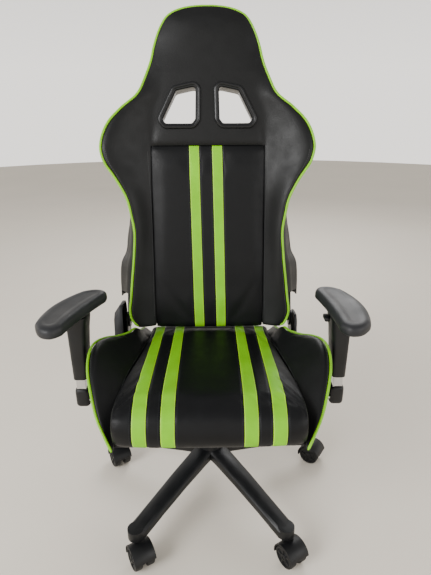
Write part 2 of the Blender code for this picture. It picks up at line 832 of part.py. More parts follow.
def recliner_mesh():
    """The right hinge plate: a foot under the board and an upright plate to the recline axis."""
    high = BOARD_BOTTOM - GAP
    outline = [(0.046, high - 0.005), (0.130, high - 0.005), (0.134, 0.43)]
    outline += arc((RECLINE_Y, RECLINE_Z), 0.022, 0, 180, 8)
    outline += [(0.062, 0.43)]
    plate = extruded(outline, *SEAT_PLATE, "X")
    foot = box((0.180, 0.050, high - 0.005), (SEAT_PLATE[1], 0.125, high))
    bores = [
        rod((0.22, y, z), (0.25, y, z), SHAFT_RADIUS + 0.0005, 16)
        for y, z in ((RECLINE_Y, RECLINE_Z), (CATCH_Y, CATCH_Z))
    ]
    return cut(joined(plate, foot), *bores)


def hinge_cover_form(span, top, fall, wall, grow_inner):
    """A hinge cover on the +X side, or its hollow where wall is set. Its top falls outwards."""
    inner, outer = span[0] - grow_inner, span[1] - wall
    shoulder = span[0] + 0.35 * (span[1] - span[0])
    middle = (0.091, 0.470)

    def outline(drop, inset):
        high = top - drop
        return [
            (0.050 + inset, 0.400 + inset),
            (0.132 - inset, 0.400 + inset),
            (0.132 - inset, high - 0.026),
            (0.120 - inset, high - 0.005),
            (0.072 + inset, high),
            (0.058 + inset, high - 0.013),
            (0.050 + inset, high - 0.060),
        ]

    def shrunk(outline):
        return [
            (y - math.copysign(wall, y - middle[0]), z - math.copysign(wall, z - middle[1]))
            for y, z in outline
        ]

    near, far = shrunk(outline(0, 0)), shrunk(outline(fall, 0.002))
    rings = [[(x, y, z) for y, z in points] for x, points in ((inner, near), (shoulder, near), (outer, far))]
    return loft(rings)


def hinge_cover_mesh(side):
    """A hollow cover, open towards the hinge plate."""
    span = HINGE_COVER[side]
    top, fall, wall = (0.558, 0.024, 0.0025) if side == "left" else (0.526, 0.002, 0.0020)
    form = hinge_cover_form(span, top, fall, 0.0, 0.0)
    return cut(form, hinge_cover_form(span, top, fall, wall, 0.002))


def make_seat(height):
    tilt = empty("seat_tilt_axis", (0, TILT_Y, TILT_Z), parent=height)
    node("tilt_plate", tilt_plate_mesh(), "painted_steel", tilt)
    node("seat_board", board_mesh(), "plywood", tilt)
    node("seat_cushion", cushion_mesh(), "leather", tilt)
    axle_hole = rod((0.25, CATCH_Y, CATCH_Z), (0.28, CATCH_Y, CATCH_Z), 0.0070, 16)
    shaft = rod((-0.2410, RECLINE_Y, RECLINE_Z), (0.2410, RECLINE_Y, RECLINE_Z), SHAFT_RADIUS, 16)
    pieces = {
        "seat_bolster": (seat_bolster_mesh(), "leather"),
        "arm_bracket": (arm_bracket_mesh(), "steel"),
        "arm_boot": (arm_boot_mesh(), "nylon"),
        "recliner_plate": (recliner_mesh(), "painted_steel"),
    }
    for name, (mesh, paint) in pieces.items():
        node(f"{name}_right", mesh, paint, tilt)
        node(f"{name}_left", mirrored(mesh), paint, tilt)
    node("hinge_cover_right", hinge_cover_mesh("right"), "hard_plastic", tilt)
    left_cover = cut(hinge_cover_mesh("left"), axle_hole)
    node("hinge_cover_left", mirrored(left_cover), "hard_plastic", tilt)
    node("recline_shaft", shaft, "steel", tilt)
    return tilt


def recline_lever_mesh():
    """A hub outside the left hinge cover, its axle, and a handle that reaches forward below the bolster."""
    hub = rod((CATCH_X[0], CATCH_Y, CATCH_Z), (CATCH_X[1], CATCH_Y, CATCH_Z), 0.0140, 20)
    axle = rod((-0.2325, CATCH_Y, CATCH_Z), (CATCH_X[0] - 0.002, CATCH_Y, CATCH_Z), SHAFT_RADIUS, 16)
    sections = (  # forward from the axle, up from it, half height
        (0.004, 0.000, 0.0105),
        (0.030, -0.004, 0.0080),
        (0.060, -0.007, 0.0090),
        (0.095, -0.010, 0.0110),
        (0.102, -0.011, 0.0070),
    )
    middle_x = sum(CATCH_X) / 2
    rings = []
    for ahead, up, half in sections:
        outline = rounded_outline(0.0042, half, 0.003, 2)
        rings.append([(middle_x + a, CATCH_Y - ahead, CATCH_Z + up + b) for a, b in outline])
    return joined(hub, axle, loft(rings))


def make_recline_lever(tilt):
    axis = empty("recline_lever_axis", (0, CATCH_Y, CATCH_Z), parent=tilt)
    node("recline_lever", recline_lever_mesh(), "hard_plastic", axis)


# --- backrest, in the frame of its own empty -------------------------------------------------


def flank_half(height):
    """Half width where the bolsters and the head pad meet the rear cover."""
    if height <= HINGE_NOTCH_TOP:
        return HINGE_NOTCH_HALF
    return between(COVER_OUTLINE, height, 1) - 0.001


def back_section(height, inner):
    """The right half of a padded section: seam, front face, crest at the piping, flank."""
    half = between(BACK_OUTLINE, height, 1)
    crest = PAD_FRONT + between(BACK_OUTLINE, height, 2)
    rise = crest - PAD_FRONT
    reach = half - inner
    rear = flank_half(height)
    return [
        (inner + 0.25 * reach, PAD_FRONT + 0.12 * rise),
        (inner + 0.60 * reach, PAD_FRONT + 0.55 * rise),
        (half - 0.12 * reach, crest - 0.001),
        (half, crest + 0.003),
        ((half + rear) / 2 + 0.003, (crest + PAD_REAR) / 2),
        (rear, PAD_REAR),
    ]


def back_bolster_mesh():
    heights = [row[0] for row in BACK_OUTLINE if row[0] < HEAD_SEAM]
    heights += [HINGE_NOTCH_TOP, HINGE_NOTCH_TOP + 0.004, 0.186, HEAD_SEAM - GAP]
    inner = PANEL_HALF + GAP
    rings = []
    for height in sorted(heights):
        outline = [(inner, PAD_REAR), (inner, PAD_FRONT)] + back_section(height, inner)
        rings.append([(x, y, height) for x, y in outline])
    return loft(rings)


def back_pad_mesh():
    rings = []
    top = HEAD_SEAM - GAP
    stations = (  # height, how far the front is set back
        (-0.008, 0.012),
        (0.000, 0.003),
        (0.018, 0.0),
        (0.240, -0.002),
        (0.460, 0.0),
        (top, 0.004),
    )
    for height, inset in stations:
        front = PAD_FRONT + inset
        rear = PAD_REAR - (0.002 if height < SHAFT_CLEAR else 0)
        side = [(PANEL_HALF, rear), (PANEL_HALF, front + 0.004), (0.9 * PANEL_HALF, front)]
        outline = side + [(0, front - 0.002)] + [(-x, y) for x, y in reversed(side)]
        rings.append([(x, y, height) for x, y in outline])
    return loft(rings)


def strap_hole(grow, low, high, side):
    """The opening for a strap, grown outwards all round, as a prism from low to high."""
    count = len(STRAP_HOLE)
    points = []
    for i, point in enumerate(STRAP_HOLE):
        before = Vector(STRAP_HOLE[i - 1])
        after = Vector(STRAP_HOLE[(i + 1) % count])
        here = Vector(point)
        first = (here - before).normalized()
        second = (after - here).normalized()
        normal = Vector((-first.y - second.y, first.x + second.x)).normalized()
        corner = here + normal * grow / max(0.5, normal.dot(Vector((-first.y, first.x))))
        points.append((side * corner.x, corner.y))
    return extruded(points, low, high, "Y")


def head_pad_mesh():
    heights = [HEAD_SEAM] + [row[0] for row in BACK_OUTLINE if row[0] > HEAD_SEAM]
    rings = []
    for height in heights:
        half = between(BACK_OUTLINE, height, 1)
        inner = min(PANEL_HALF, 0.72 * half)
        right = [(inner, PAD_FRONT)] + back_section(height, inner)
        if half < 0.08:
            right = [(x, max(y, -0.040)) for x, y in right]
        outline = right + [(-x, y) for x, y in reversed(right)]
        rings.append([(x, y, height) for x, y in outline])
    pad = loft(rings)
    reach = BEZEL_SLEEVE + GAP
    return cut(pad, *(strap_hole(reach, -0.2, 0.1, side) for side in SIDES.values()))


def bezel_mesh():
    """The right strap bezel: a lip on the pad's face and a sleeve through to the rear cover."""
    lip = strap_hole(BEZEL_LIP, BEZEL_FRONT, PAD_FRONT - 0.006, 1)
    sleeve = strap_hole(BEZEL_SLEEVE, BEZEL_FRONT + 0.001, 0.0440, 1)
    opening = strap_hole(0.0, -0.2, 0.2, 1)
    return cut(joined(lip, sleeve), opening)


def cover_mesh():
    """The rear shell: a back panel with side walls, open to the front and below."""
    bm = bmesh.new()
    rows = []
    for height, half in COVER_OUTLINE:
        depth = 1.0 if half > 0.1 else 0.55 + 0.45 * half / 0.1
        rear = COVER_REAR * depth
        right = [
            (half, PAD_REAR + 0.0005),
            (half, 0.40 * rear),
            (half - min(0.008, 0.2 * half), 0.78 * rear),
            (half - min(0.026, 0.5 * half), 0.97 * rear),
            (0.4 * half, rear),
        ]
        outline = right + [(-x, y) for x, y in reversed(right)]
        rows.append([bm.verts.new((x, y, height)) for x, y in outline])
    count = len(rows[0])
    for here, there in zip(rows, rows[1:]):
        for i in range(count - 1):
            bm.faces.new((here[i], here[i + 1], there[i + 1], there[i]))
    top = rows[-1]
    for i in range(count // 2 - 1):
        bm.faces.new((top[i], top[i + 1], top[count - 2 - i], top[count - 1 - i]))
    bmesh.ops.recalc_face_normals(bm, faces=bm.faces)
    middle = min(bm.faces, key=lambda face: (face.calc_center_median() - Vector((0, 0.04, 0.4))).length)
    if middle.normal.y < 0:
        bmesh.ops.reverse_faces(bm, faces=bm.faces)
    mesh = bpy.data.meshes.new("cover")
    bm.to_mesh(mesh)
    bm.free()
    obj = temporary(mesh)
    solid = obj.modifiers.new("wall", "SOLIDIFY")
    solid.thickness = COVER_WALL
    solid.offset = -1
    solid.use_even_offset = True
    shell = evaluated(obj)
    notches = [
        box((side * HINGE_NOTCH_HALF, -0.1, -0.1), (side * 0.30, 0.1, COVER_NOTCH_TOP))
        for side in SIDES.values()
    ]
    holes = [strap_hole(BEZEL_SLEEVE + GAP, -0.1, 0.2, side) for side in SIDES.values()]
    return cut(shell, *notches, *holes)


def back_frame_mesh():
    """A tube hoop with two cross tubes, welded to the plates that turn on the recline axis."""
    right = [(x, TUBE_Y, z) for x, z in BACK_TUBE]
    hoop = tube(right + [(-x, y, z) for x, y, z in reversed(right)], TUBE_RADIUS)
    bars = ((0.060, 0.216), (0.440, 0.205))  # height, half length
    crosses = [rod((-reach, TUBE_Y, z), (reach, TUBE_Y, z), 0.008, 12) for z, reach in bars]
    outline = [(-0.004, 0.140), (-0.004, 0.086), (-0.009, 0.060), (-0.018, 0.018)]
    outline += arc((0, 0), 0.020, 170, 370, 9)
    outline += [(0.020, 0.020), (0.018, 0.140)]
    plates, bores = [], []
    for side in SIDES.values():
        plates.append(extruded(outline, *sorted(side * x for x in BACK_PLATE), "X"))
        bores.append(rod((side * 0.22, 0, 0), (side * 0.24, 0, 0), 0.0065, 16))
    return cut(joined(hoop, *crosses, *plates), *bores)


def make_backrest(tilt):
    axis = empty("recline_axis", (0, RECLINE_Y, RECLINE_Z), rotation_x=-RECLINE_REST, parent=tilt)
    node("back_frame", back_frame_mesh(), "painted_steel", axis, local=True)
    node("back_pad", back_pad_mesh(), "leather", axis, local=True)
    bolster = back_bolster_mesh()
    node("back_bolster_right", bolster, "leather", axis, local=True)
    node("back_bolster_left", mirrored(bolster), "leather", axis, local=True)
    node("head_pad", head_pad_mesh(), "leather", axis, local=True)
    node("back_cover", cover_mesh(), "leather_rear", axis, local=True)
    bezel = bezel_mesh()
    node("strap_bezel_right", bezel, "hard_plastic", axis, local=True)
    node("strap_bezel_left", mirrored(bezel), "hard_plastic", axis, local=True)


# --- armrests -------------------------------------------------------------------------------


def sleeve_mesh(side):
    """The moulded sleeve over the upright, wider towards the chair at the top."""
    sign = SIDES[side]
    rings = []
    for z, inner, half_y in SLEEVE_SECTIONS:
        middle, half_x = sign * (inner + SLEEVE_OUTER) / 2, (SLEEVE_OUTER - inner) / 2
        rings.append([(middle + a, ARM_Y + b, z) for a, b in rounded_outline(half_x, half_y, 0.009)])
    x, bore_x, bore_y = sign * ARM_X, COLUMN_HALF_X + 0.0005, COLUMN_HALF_Y + 0.0005
    bore = box((x - bore_x, ARM_Y - bore_y, 0.40), (x + bore_x, ARM_Y + bore_y, SLEEVE_BORE_TOP))
    face = catch_face(side)
    low_corner = (face - 0.015, ARM_Y - 0.005, ARM_CATCH_Z - 0.0065)
    pocket = box(low_corner, (face + 0.0100, ARM_Y + 0.005, ARM_CATCH_Z + 0.0065))
    return cut(loft(rings), bore, pocket)


def catch_face(side):
    """The sleeve's -X face at the height of its catch; both arms carry the catch on that side."""
    return -SLEEVE_OUTER if side == "left" else between(SLEEVE_SECTIONS, ARM_CATCH_Z, 1)


def arm_lever_mesh(side):
    """The height catch: a paddle outside the sleeve with a shank into its pocket."""
    face = catch_face(side)
    low, high = ARM_CATCH_Z - 0.0080, ARM_CATCH_Z + 0.0040
    low_corner = (face - 0.0140, ARM_Y - 0.0140, low)
    paddle = rounded_box(low_corner, (face - 0.0018, ARM_Y + 0.0140, high), 0.0035, 2)
    low_corner = (face - 0.0040, ARM_Y - 0.0035, ARM_CATCH_Z - 0.0025)
    shank = box(low_corner, (face + 0.0080, ARM_Y + 0.0035, ARM_CATCH_Z + 0.0025))
    return joined(paddle, shank)


def pad_outline(inset):
    """The crescent seen from above, bowed towards +X, its chord along Y and middle at 0."""
    half, width = PAD_LENGTH / 2 - inset, PAD_WIDTH / 2 - inset
    steps, cap = 8, 5
    straight = half - width

    def centre(y):
        return PAD_BOW * (1 - (y / half) ** 2) - 0.5 * PAD_BOW

    outer = [(centre(y) + width, y) for y in (straight * (2 * i / steps - 1) for i in range(steps + 1))]
    inner = [(centre(y) - width, y) for y in (straight * (1 - 2 * i / steps) for i in range(steps + 1))]
    far = arc((centre(straight), straight), width, 0, 180, cap)[1:-1]
    near = arc((centre(straight), -straight), width, 180, 360, cap)[1:-1]
    return outer + far + inner + near


def pad_mesh():
    rows = (
        (PAD_BOTTOM, 0.006),
        (PAD_BOTTOM + 0.006, 0.0),
        (PAD_TOP - 0.008, 0.0),
        (PAD_TOP - 0.002, 0.005),
        (PAD_TOP, 0.013),
    )
    return loft([[(x, y, z) for x, y in pad_outline(inset)] for z, inset in rows])


def make_arm(side, tilt):
    sign = SIDES[side]
    slide = empty(f"arm_{side}_axis", (sign * ARM_X, ARM_Y, SLEEVE_BOTTOM), parent=tilt)
    node(f"arm_sleeve_{side}", sleeve_mesh(side), "nylon", slide)
    catch = empty(f"arm_lever_{side}_axis", (catch_face(side) + 0.004, ARM_Y, ARM_CATCH_Z), parent=slide)
    node(f"arm_lever_{side}", arm_lever_mesh(side), "hard_plastic", catch)
    turn_place = (sign * PAD_TURN_X, ARM_Y, 0)
    turn = empty(f"arm_rest_{side}_axis", turn_place, rotation_z=sign * TOE_OUT[side], parent=slide)
    place = Matrix.Translation((-sign * PAD_INWARD, -PAD_FORWARD, 0))
    pad = moved(pad_mesh() if sign > 0 else mirrored(pad_mesh()), place)
    node(f"arm_pad_{side}", pad, "pad", turn, local=True)
    outline = [(a, b - 0.012) for a, b in rounded_outline(0.0220, 0.0650, 0.012)]
    plate = extruded(outline, PAD_PLATE_BOTTOM, PAD_BOTTOM - GAP)
    node(f"arm_pad_plate_{side}", plate, "nylon", turn, local=True)


# --- the chair ------------------------------------------------------------------------------


def main():
    make_base()
    make_casters()
    height = make_lift()
    make_mechanism(height)
    tilt = make_seat(height)
    make_recline_lever(tilt)
    make_backrest(tilt)
    for side in SIDES:
        make_arm(side, tilt)


clear_scene()
PARTS = collection("gaming_chair")
CUTTERS = collection("cutters")
main()
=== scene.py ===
"""Gaming chair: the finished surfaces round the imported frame.

Metres, +Z up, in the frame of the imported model. The chair faces -Y. The backrest's own
coordinates are (across, up the back, depth), with depth growing to the rear, from the
recline axis.
"""

import json
import math

import bmesh
import bpy
import numpy as np
from bpy.props import FloatProperty, FloatVectorProperty, IntProperty, PointerProperty
from mathutils import Matrix, Vector


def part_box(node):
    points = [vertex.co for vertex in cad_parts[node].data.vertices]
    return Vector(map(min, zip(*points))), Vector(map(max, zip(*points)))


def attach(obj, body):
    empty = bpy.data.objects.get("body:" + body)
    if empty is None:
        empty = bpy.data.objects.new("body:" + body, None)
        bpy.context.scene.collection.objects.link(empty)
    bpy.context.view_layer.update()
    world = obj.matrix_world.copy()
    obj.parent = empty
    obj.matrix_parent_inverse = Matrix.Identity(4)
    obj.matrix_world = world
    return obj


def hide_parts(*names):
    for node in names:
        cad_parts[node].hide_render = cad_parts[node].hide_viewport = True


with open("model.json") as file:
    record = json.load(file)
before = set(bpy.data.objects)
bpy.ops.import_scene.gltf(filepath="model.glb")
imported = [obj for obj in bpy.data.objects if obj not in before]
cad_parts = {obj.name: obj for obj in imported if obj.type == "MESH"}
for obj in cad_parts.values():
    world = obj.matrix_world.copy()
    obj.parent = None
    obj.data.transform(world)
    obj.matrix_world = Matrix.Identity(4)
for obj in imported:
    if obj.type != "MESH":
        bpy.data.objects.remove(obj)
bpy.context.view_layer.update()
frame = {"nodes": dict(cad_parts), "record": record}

bl_info = {
    "name": "Gaming chair",
    "version": (1, 0, 0),
    "blender": (4, 5, 0),
    "location": "View3D > Sidebar > Chair",
    "description": "Upholstery, mouldings and metalwork of a reclining bucket-seat chair",
    "category": "Object",
}

JOINTS = {joint["name"]: joint for joint in frame["record"]["behaviour"]["joints"]}
RECLINE_AXIS = np.array(JOINTS["backrest_recline"]["pos_m"])
RECLINE_REST = math.radians(10)
SIDES = {"left": -1, "right": 1}
CASTERS = ("front_left", "front_right", "side_right", "rear", "side_left")

# Seat
BOARD_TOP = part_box("seat_board")[1].z + 0.0005
SEAT_PROFILE = (  # side view of the cushion's skin: y, z, from the rear over the top to the front edge
    (0.1045, 0.4600),
    (0.1000, 0.4760),
    (0.0860, 0.4858),
    (0.0600, 0.4885),
    (0.0000, 0.4920),
    (-0.0800, 0.4965),
    (-0.1600, 0.5015),
    (-0.2400, 0.5040),
    (-0.2900, 0.5025),
    (-0.3190, 0.4965),
    (-0.3380, 0.4830),
    (-0.3470, 0.4630),
    (-0.3465, 0.4380),
    (-0.3400, 0.4180),
    (-0.3240, 0.4040),
)
SEAT_STRIPE_EDGES = (0.0710, 0.1020, 0.1305, 0.1615)
SEAT_HALF = 0.2045
SEAT_REAR_KEYS = (0, 0.0710, 0.0970, 0.1260, 0.1520, 0.1645)
SEAT_FRONT_KEYS = (0, *SEAT_STRIPE_EDGES, SEAT_HALF)
SEAT_TAPER = (0.070, -0.328)  # y where the seam starts and stops spreading
SEAM_REACH, GROOVE_WIDTH = 0.0075, 0.0017  # how far a sunk seam and a stripe's groove spread
BOLSTER_STATIONS = (  # y, seam height, crest x, crest height
    (0.104, 0.458, 0.188, 0.474),
    (0.088, 0.462, 0.189, 0.480),
    (0.066, 0.464, 0.190, 0.488),
    (0.045, 0.466, 0.194, 0.497),
    (0.030, 0.473, 0.203, 0.510),
    (0.000, 0.478, 0.214, 0.514),
    (-0.030, 0.480, 0.238, 0.520),
    (-0.060, 0.482, 0.263, 0.532),
    (-0.100, 0.484, 0.279, 0.542),
    (-0.150, 0.486, 0.282, 0.541),
    (-0.200, 0.484, 0.276, 0.523),
    (-0.250, 0.468, 0.260, 0.492),
    (-0.295, 0.438, 0.240, 0.458),
    (-0.325, 0.413, 0.218, 0.427),
    (-0.334, 0.406, 0.212, 0.413),
)

# Backrest
PAD_FRONT, PAD_REAR = -0.050, -0.0055
PANEL_HALF, PANEL_TOP = 0.1472, 0.4775
PANEL_PROFILE = (  # height, depth, from the crease at the seat to the seam under the head section
    (-0.0080, -0.0200),
    (-0.0120, -0.0340),
    (-0.0105, -0.0440),
    (-0.0030, -0.0490),
    (0.0180, -0.0525),
    (0.1200, -0.0550),
    (0.2400, -0.0560),
    (0.3700, -0.0550),
    (0.4450, -0.0535),
    (0.4690, -0.0510),
    (PANEL_TOP, -0.0455),
)
PANEL_STRIPES = ((-0.0450, -0.0180), (0.0145, 0.0415))
PANEL_LEAN = 0.0045  # sideways shift of the stripes at each end of the panel
BACK_OUTLINE = (  # height, half width at the piping, piping ahead of (-) or behind (+) the pad front
    (-0.001, 0.1990, -0.012),
    (0.010, 0.2075, -0.014),
    (0.033, 0.2150, -0.017),
    (0.080, 0.2105, -0.019),
    (0.120, 0.2060, -0.021),
    (0.203, 0.1960, -0.027),
    (0.264, 0.1925, -0.031),
    (0.302, 0.1980, -0.035),
    (0.340, 0.2055, -0.039),
    (0.399, 0.2354, -0.042),
    (0.436, 0.2590, -0.044),
    (0.474, 0.2665, -0.043),
    (0.491, 0.2634, -0.041),
    (0.529, 0.2484, -0.032),
    (0.567, 0.2144, -0.021),
    (0.604, 0.1720, -0.011),
    (0.643, 0.1536, -0.002),
    (0.680, 0.1393, 0.004),
    (0.718, 0.1300, 0.010),
    (0.750, 0.1186, 0.012),
    (0.787, 0.0937, 0.014),
    (0.800, 0.0650, 0.015),
    (0.806, 0.0300, 0.015),
)
BACK_TOP = (0.8070, 0.0, 0.015)
COVER_OUTLINE = (  # height, half width of the rear shell
    (0.012, 0.2480),
    (0.050, 0.2485),
    (0.092, 0.2490),
    (0.120, 0.2490),
    (0.180, 0.2400),
    (0.192, 0.2330),
    (0.240, 0.2240),
    (0.330, 0.2140),
    (0.400, 0.2350),
    (0.450, 0.2570),
    (0.478, 0.2610),
    (0.530, 0.2440),
    (0.570, 0.2080),
    (0.604, 0.1690),
    (0.643, 0.1505),
    (0.680, 0.1365),
    (0.718, 0.1270),
    (0.750, 0.1160),
    (0.787, 0.0910),
    (0.800, 0.0620),
    (0.805, 0.0280),
)
COVER_TOP = (0.8062, 0.0)
COVER_REAR, COVER_WALL = 0.038, 0.003
COVER_SECTION = (  # distance in from the outline, depth as a share of COVER_REAR
    (0.0000, -0.130),
    (0.0000, 0.150),
    (0.0000, 0.450),
    (0.0012, 0.620),
    (0.0040, 0.760),
    (0.0090, 0.860),
    (0.0160, 0.930),
    (0.0260, 0.975),
    (0.0340, 0.985),
    (0.0360, 0.972),
    (0.0378, 0.985),
    (0.0400, 0.990),
    (0.0500, 1.000),
)
COVER_SEAM_ROW = 9
COVER_FOOT = COVER_OUTLINE[0][0]
COVER_MIDDLE = 14  # columns from the section's end to the middle line
ARCH_CENTRE = 0.735  # height that the head's arch fans round
RISE_BIAS = 1.1  # above 1 the wings rise later, nearer to the piping
WING_FOOT = ((0.0045, 0.90), (0.0030, 0.97))  # drop and scale of the rings that round a wing's foot
HINGE_NOTCH_TOP, COVER_NOTCH_TOP, HINGE_NOTCH_HALF = 0.088, 0.072, 0.2240
STRAP_HOLE = ((0.030, 0.618), (0.078, 0.608), (0.113, 0.541), (0.106, 0.532), (0.040, 0.532), (0.032, 0.542))
STRAP_CORNER = 0.0060  # smallest radius in the opening
STRAP_DRAFT = 0.085  # how much the opening grows outwards per metre of depth
BEZEL_PROFILE = (  # outwards from the opening, depth
    (0.0080, 0.0435),
    (0.0000, -0.0490),
    (0.0010, -0.0545),
    (0.0035, -0.0575),
    (0.0052, -0.0565),
    (0.0068, -0.0590),
    (0.0095, -0.0600),
    (0.0130, -0.0585),
    (0.0145, -0.0555),
    (0.0145, -0.0500),
    (0.0022, -0.0490),
    (0.0102, 0.0435),
)
RING_PROFILE = ((0.0104, 0.0405), (0.0104, 0.0438), (0.0140, 0.0442), (0.0180, 0.0430), (0.0185, 0.0405))

# Armrests
PAD_LENGTH, PAD_WIDTH, PAD_BOW = 0.238, 0.083, 0.020
PAD_FORWARD, PAD_INWARD = 0.033, 0.009
TOE_OUT = {"left": 18.0, "right": 5.0}
PAD_SECTION = (  # height above the pad's underside, inset from its outline
    (0.0000, 0.0300),
    (0.0000, 0.0065),
    (0.0012, 0.0030),
    (0.0050, 0.0004),
    (0.0110, 0.0000),
    (0.0170, 0.0008),
    (0.0215, 0.0034),
    (0.0243, 0.0075),
    (0.0258, 0.0130),
    (0.0262, 0.0200),
    (0.0262, 0.0300),
)

# Casters and gas lift
WHEEL_PROFILE = (  # radius, distance from the caster's middle; the middle rows are the spoked face
    (0.0044, 0.0066),
    (0.0280, 0.0066),
    (0.0296, 0.0078),
    (0.0300, 0.0100),
    (0.0300, 0.0205),
    (0.0297, 0.0232),
    (0.0288, 0.0252),
    (0.0270, 0.0264),
    (0.0245, 0.0265),
    (0.0232, 0.0258),
    (0.0226, 0.0232),
    (0.0220, 0.0226),
    (0.0180, 0.0226),
    (0.0140, 0.0226),
    (0.0105, 0.0226),
    (0.0098, 0.0232),
    (0.0092, 0.0258),
    (0.0080, 0.0265),
    (0.0044, 0.0265),
)
SPOKED_ROWS = (11, 15)
SPOKES, SPOKE_HEIGHT = 5, 0.0030

# Leather and thread
GRAIN = 0.0021  # the real grain is about 1 mm; it is drawn at twice that so that it shows
JOINT_HALF = 0.0009  # half width of the dark line where two panels join
PAINTED_HIGHLIGHT_START, PAINTED_HIGHLIGHT_END = 0.0010, 0.0026  # painted highlight: a lighter green band where the rolled edge catches light, inwards from a stripe's side
THREAD_OUT, THREAD_HALF = 0.0042, 0.00045  # flat stitching beside a stripe, and half its width
STITCH_PITCH, STITCH_SHARE = 0.0042, 0.68  # one flat stitch and its gap, and the stitch's share
SEAT_STITCHES = ((40, 10), (8, 25), slice(6, -6), (0, 0, 1))  # probe point, columns, rows, facing
BACK_STITCHES = ((50, 12), (9, 33), slice(6, -2), (0, -1, 0))


# --- numbers ----------------------------------------------------------------------------------


def linear(code):
    """An sRGB hex colour as linear RGBA."""
    channels = np.array([int(code[i : i + 2], 16) for i in (0, 2, 4)]) / 255
    low, high = channels / 12.92, ((channels + 0.055) / 1.055) ** 2.4
    return (*(float(c) for c in np.where(channels <= 0.04045, low, high)), 1.0)


def hermite(keys, values, wanted):
    """Cubic curve through (key, value) rows, with each inner slope taken from its two neighbours."""
    keys, values = np.asarray(keys, float), np.asarray(values, float)
    wanted = np.clip(wanted, keys[0], keys[-1])
    slopes = np.gradient(values, keys, axis=0)
    low = np.clip(np.searchsorted(keys, wanted, side="right") - 1, 0, len(keys) - 2)
    step = keys[low + 1] - keys[low]
    part = (wanted - keys[low]) / step
    if values.ndim > 1:
        part, step = part[..., None], step[..., None]
    square, cube = part**2, part**3
    return (
        (2 * cube - 3 * square + 1) * values[low]
        + (cube - 2 * square + part) * step * slopes[low]
        + (3 * square - 2 * cube) * values[low + 1]
        + (cube - square) * step * slopes[low + 1]
    )


def column(table, index, wanted):
    """One column of a table, read by a smooth curve at the wanted first-column values."""
    table = np.asarray(table, float)
    return hermite(table[:, 0], table[:, index], wanted)


def lengths(points):
    """Distance along a path at each of its points."""
    steps = np.linalg.norm(np.diff(points, axis=0), axis=1)
    return np.concatenate([[0.0], np.cumsum(steps)])


def through(points, count):
    """Evenly spaced points on a smooth curve through the given ones, keyed by chord length."""
    points = np.asarray(points, float)
    fine = hermite(lengths(points), points, np.linspace(0, lengths(points)[-1], count * 8))
    along = lengths(fine)
    wanted = np.linspace(0, along[-1], count)
    return np.stack([np.interp(wanted, along, fine[:, k]) for k in range(points.shape[1])], axis=1)


def across_rows(controls, count):
    """(rows, count, n) points on a smooth curve through each row of (rows, k, n) control points."""
    keys = np.arange(controls.shape[1])
    turned = np.moveaxis(controls, 1, 0).reshape(len(keys), -1)
    made = hermite(keys, turned, np.linspace(0, len(keys) - 1, count))
    return np.moveaxis(made.reshape(count, controls.shape[0], -1), 0, 1)


def chained(*spans):
    """Row-wise curves joined end to end, each next one without its first column."""
    return np.concatenate([spans[0]] + [span[:, 1:] for span in spans[1:]], axis=1)


def smooth_step(value, low, high):
    """0 below low and 1 above high, with a level start and end: 3p^2 - 2p^3 of the part of the way."""
    part = np.clip((value - low) / (high - low), 0, 1)
    return part * part * (3 - 2 * part)


def bell(distance, width):
    """1 at distance 0, falling off as a Gaussian curve."""
    return np.exp(-((distance / width) ** 2))


def to_chair(points):
    """Backrest coordinates (across, up, depth) as chair coordinates, leaning back from the recline axis."""
    cos, sin = math.cos(RECLINE_REST), math.sin(RECLINE_REST)
    across, up, depth = points[..., 0], points[..., 1], points[..., 2]
    turned = np.stack([across, depth * cos + up * sin, up * cos - depth * sin], axis=-1)
    return turned + RECLINE_AXIS


def mirror_x(points, sign):
    """Points on the +X side as they are on the side of the sign."""
    return points * np.array([sign, 1.0, 1.0])


def unit(vectors):
    """Vectors divided by their lengths."""
    return vectors / np.maximum(np.linalg.norm(vectors, axis=-1, keepdims=True), 1e-12)


def grid_normals(grid):
    """Unit normals of a grid of points, from the cross product of its two directions."""
    return unit(np.cross(np.gradient(grid, axis=0), np.gradient(grid, axis=1)))


def near_lines(lines, offsets, extra):
    """Sorted column positions: close ones round each seam line, and the extra ones between."""
    close = np.add.outer(np.asarray(lines), np.asarray(offsets)).ravel()
    return np.unique(np.round(np.concatenate([close, extra]), 6))


def rounded_loop(corners, radius, grow, steps=7):
    """A polygon grown outwards, its corners rounded about fixed centres so all sizes have equal counts."""
    points = np.asarray(corners, float)
    before, after = np.roll(points, 1, axis=0), np.roll(points, -1, axis=0)
    first, second = unit(points - before), unit(after - points)
    area = np.sum(before[:, 0] * points[:, 1] - points[:, 0] * before[:, 1])
    side = 1.0 if area > 0 else -1.0
    out_first = side * np.stack([first[:, 1], -first[:, 0]], axis=1)
    out_second = side * np.stack([second[:, 1], -second[:, 0]], axis=1)
    middle = unit(out_first + out_second)
    centres = points - middle * radius / np.sum(middle * out_first, axis=1, keepdims=True)
    part = np.linspace(0, 1, steps)[None, :, None]
    blend = unit((1 - part) * out_first[:, None] + part * out_second[:, None])
    loop = (centres[:, None] + blend * (radius + grow)).reshape(-1, 2)
    return np.concatenate([loop, loop[:1]])


# --- meshes and pieces ------------------------------------------------------------------------


def cleaned(mesh, sharp=40.0, outward=True):
    """Merges doubled points, turns the faces outwards and shades smooth up to an angle."""
    bm = bmesh.new()
    bm.from_mesh(mesh)
    bmesh.ops.remove_doubles(bm, verts=bm.verts, dist=0.00002)
    bmesh.ops.dissolve_degenerate(bm, edges=bm.edges, dist=0.00001)
    if outward:
        bmesh.ops.recalc_face_normals(bm, faces=bm.faces)
    bm.to_mesh(mesh)
    bm.free()
    mesh.shade_smooth()
    mesh.set_sharp_from_angle(angle=math.radians(sharp))
    return mesh


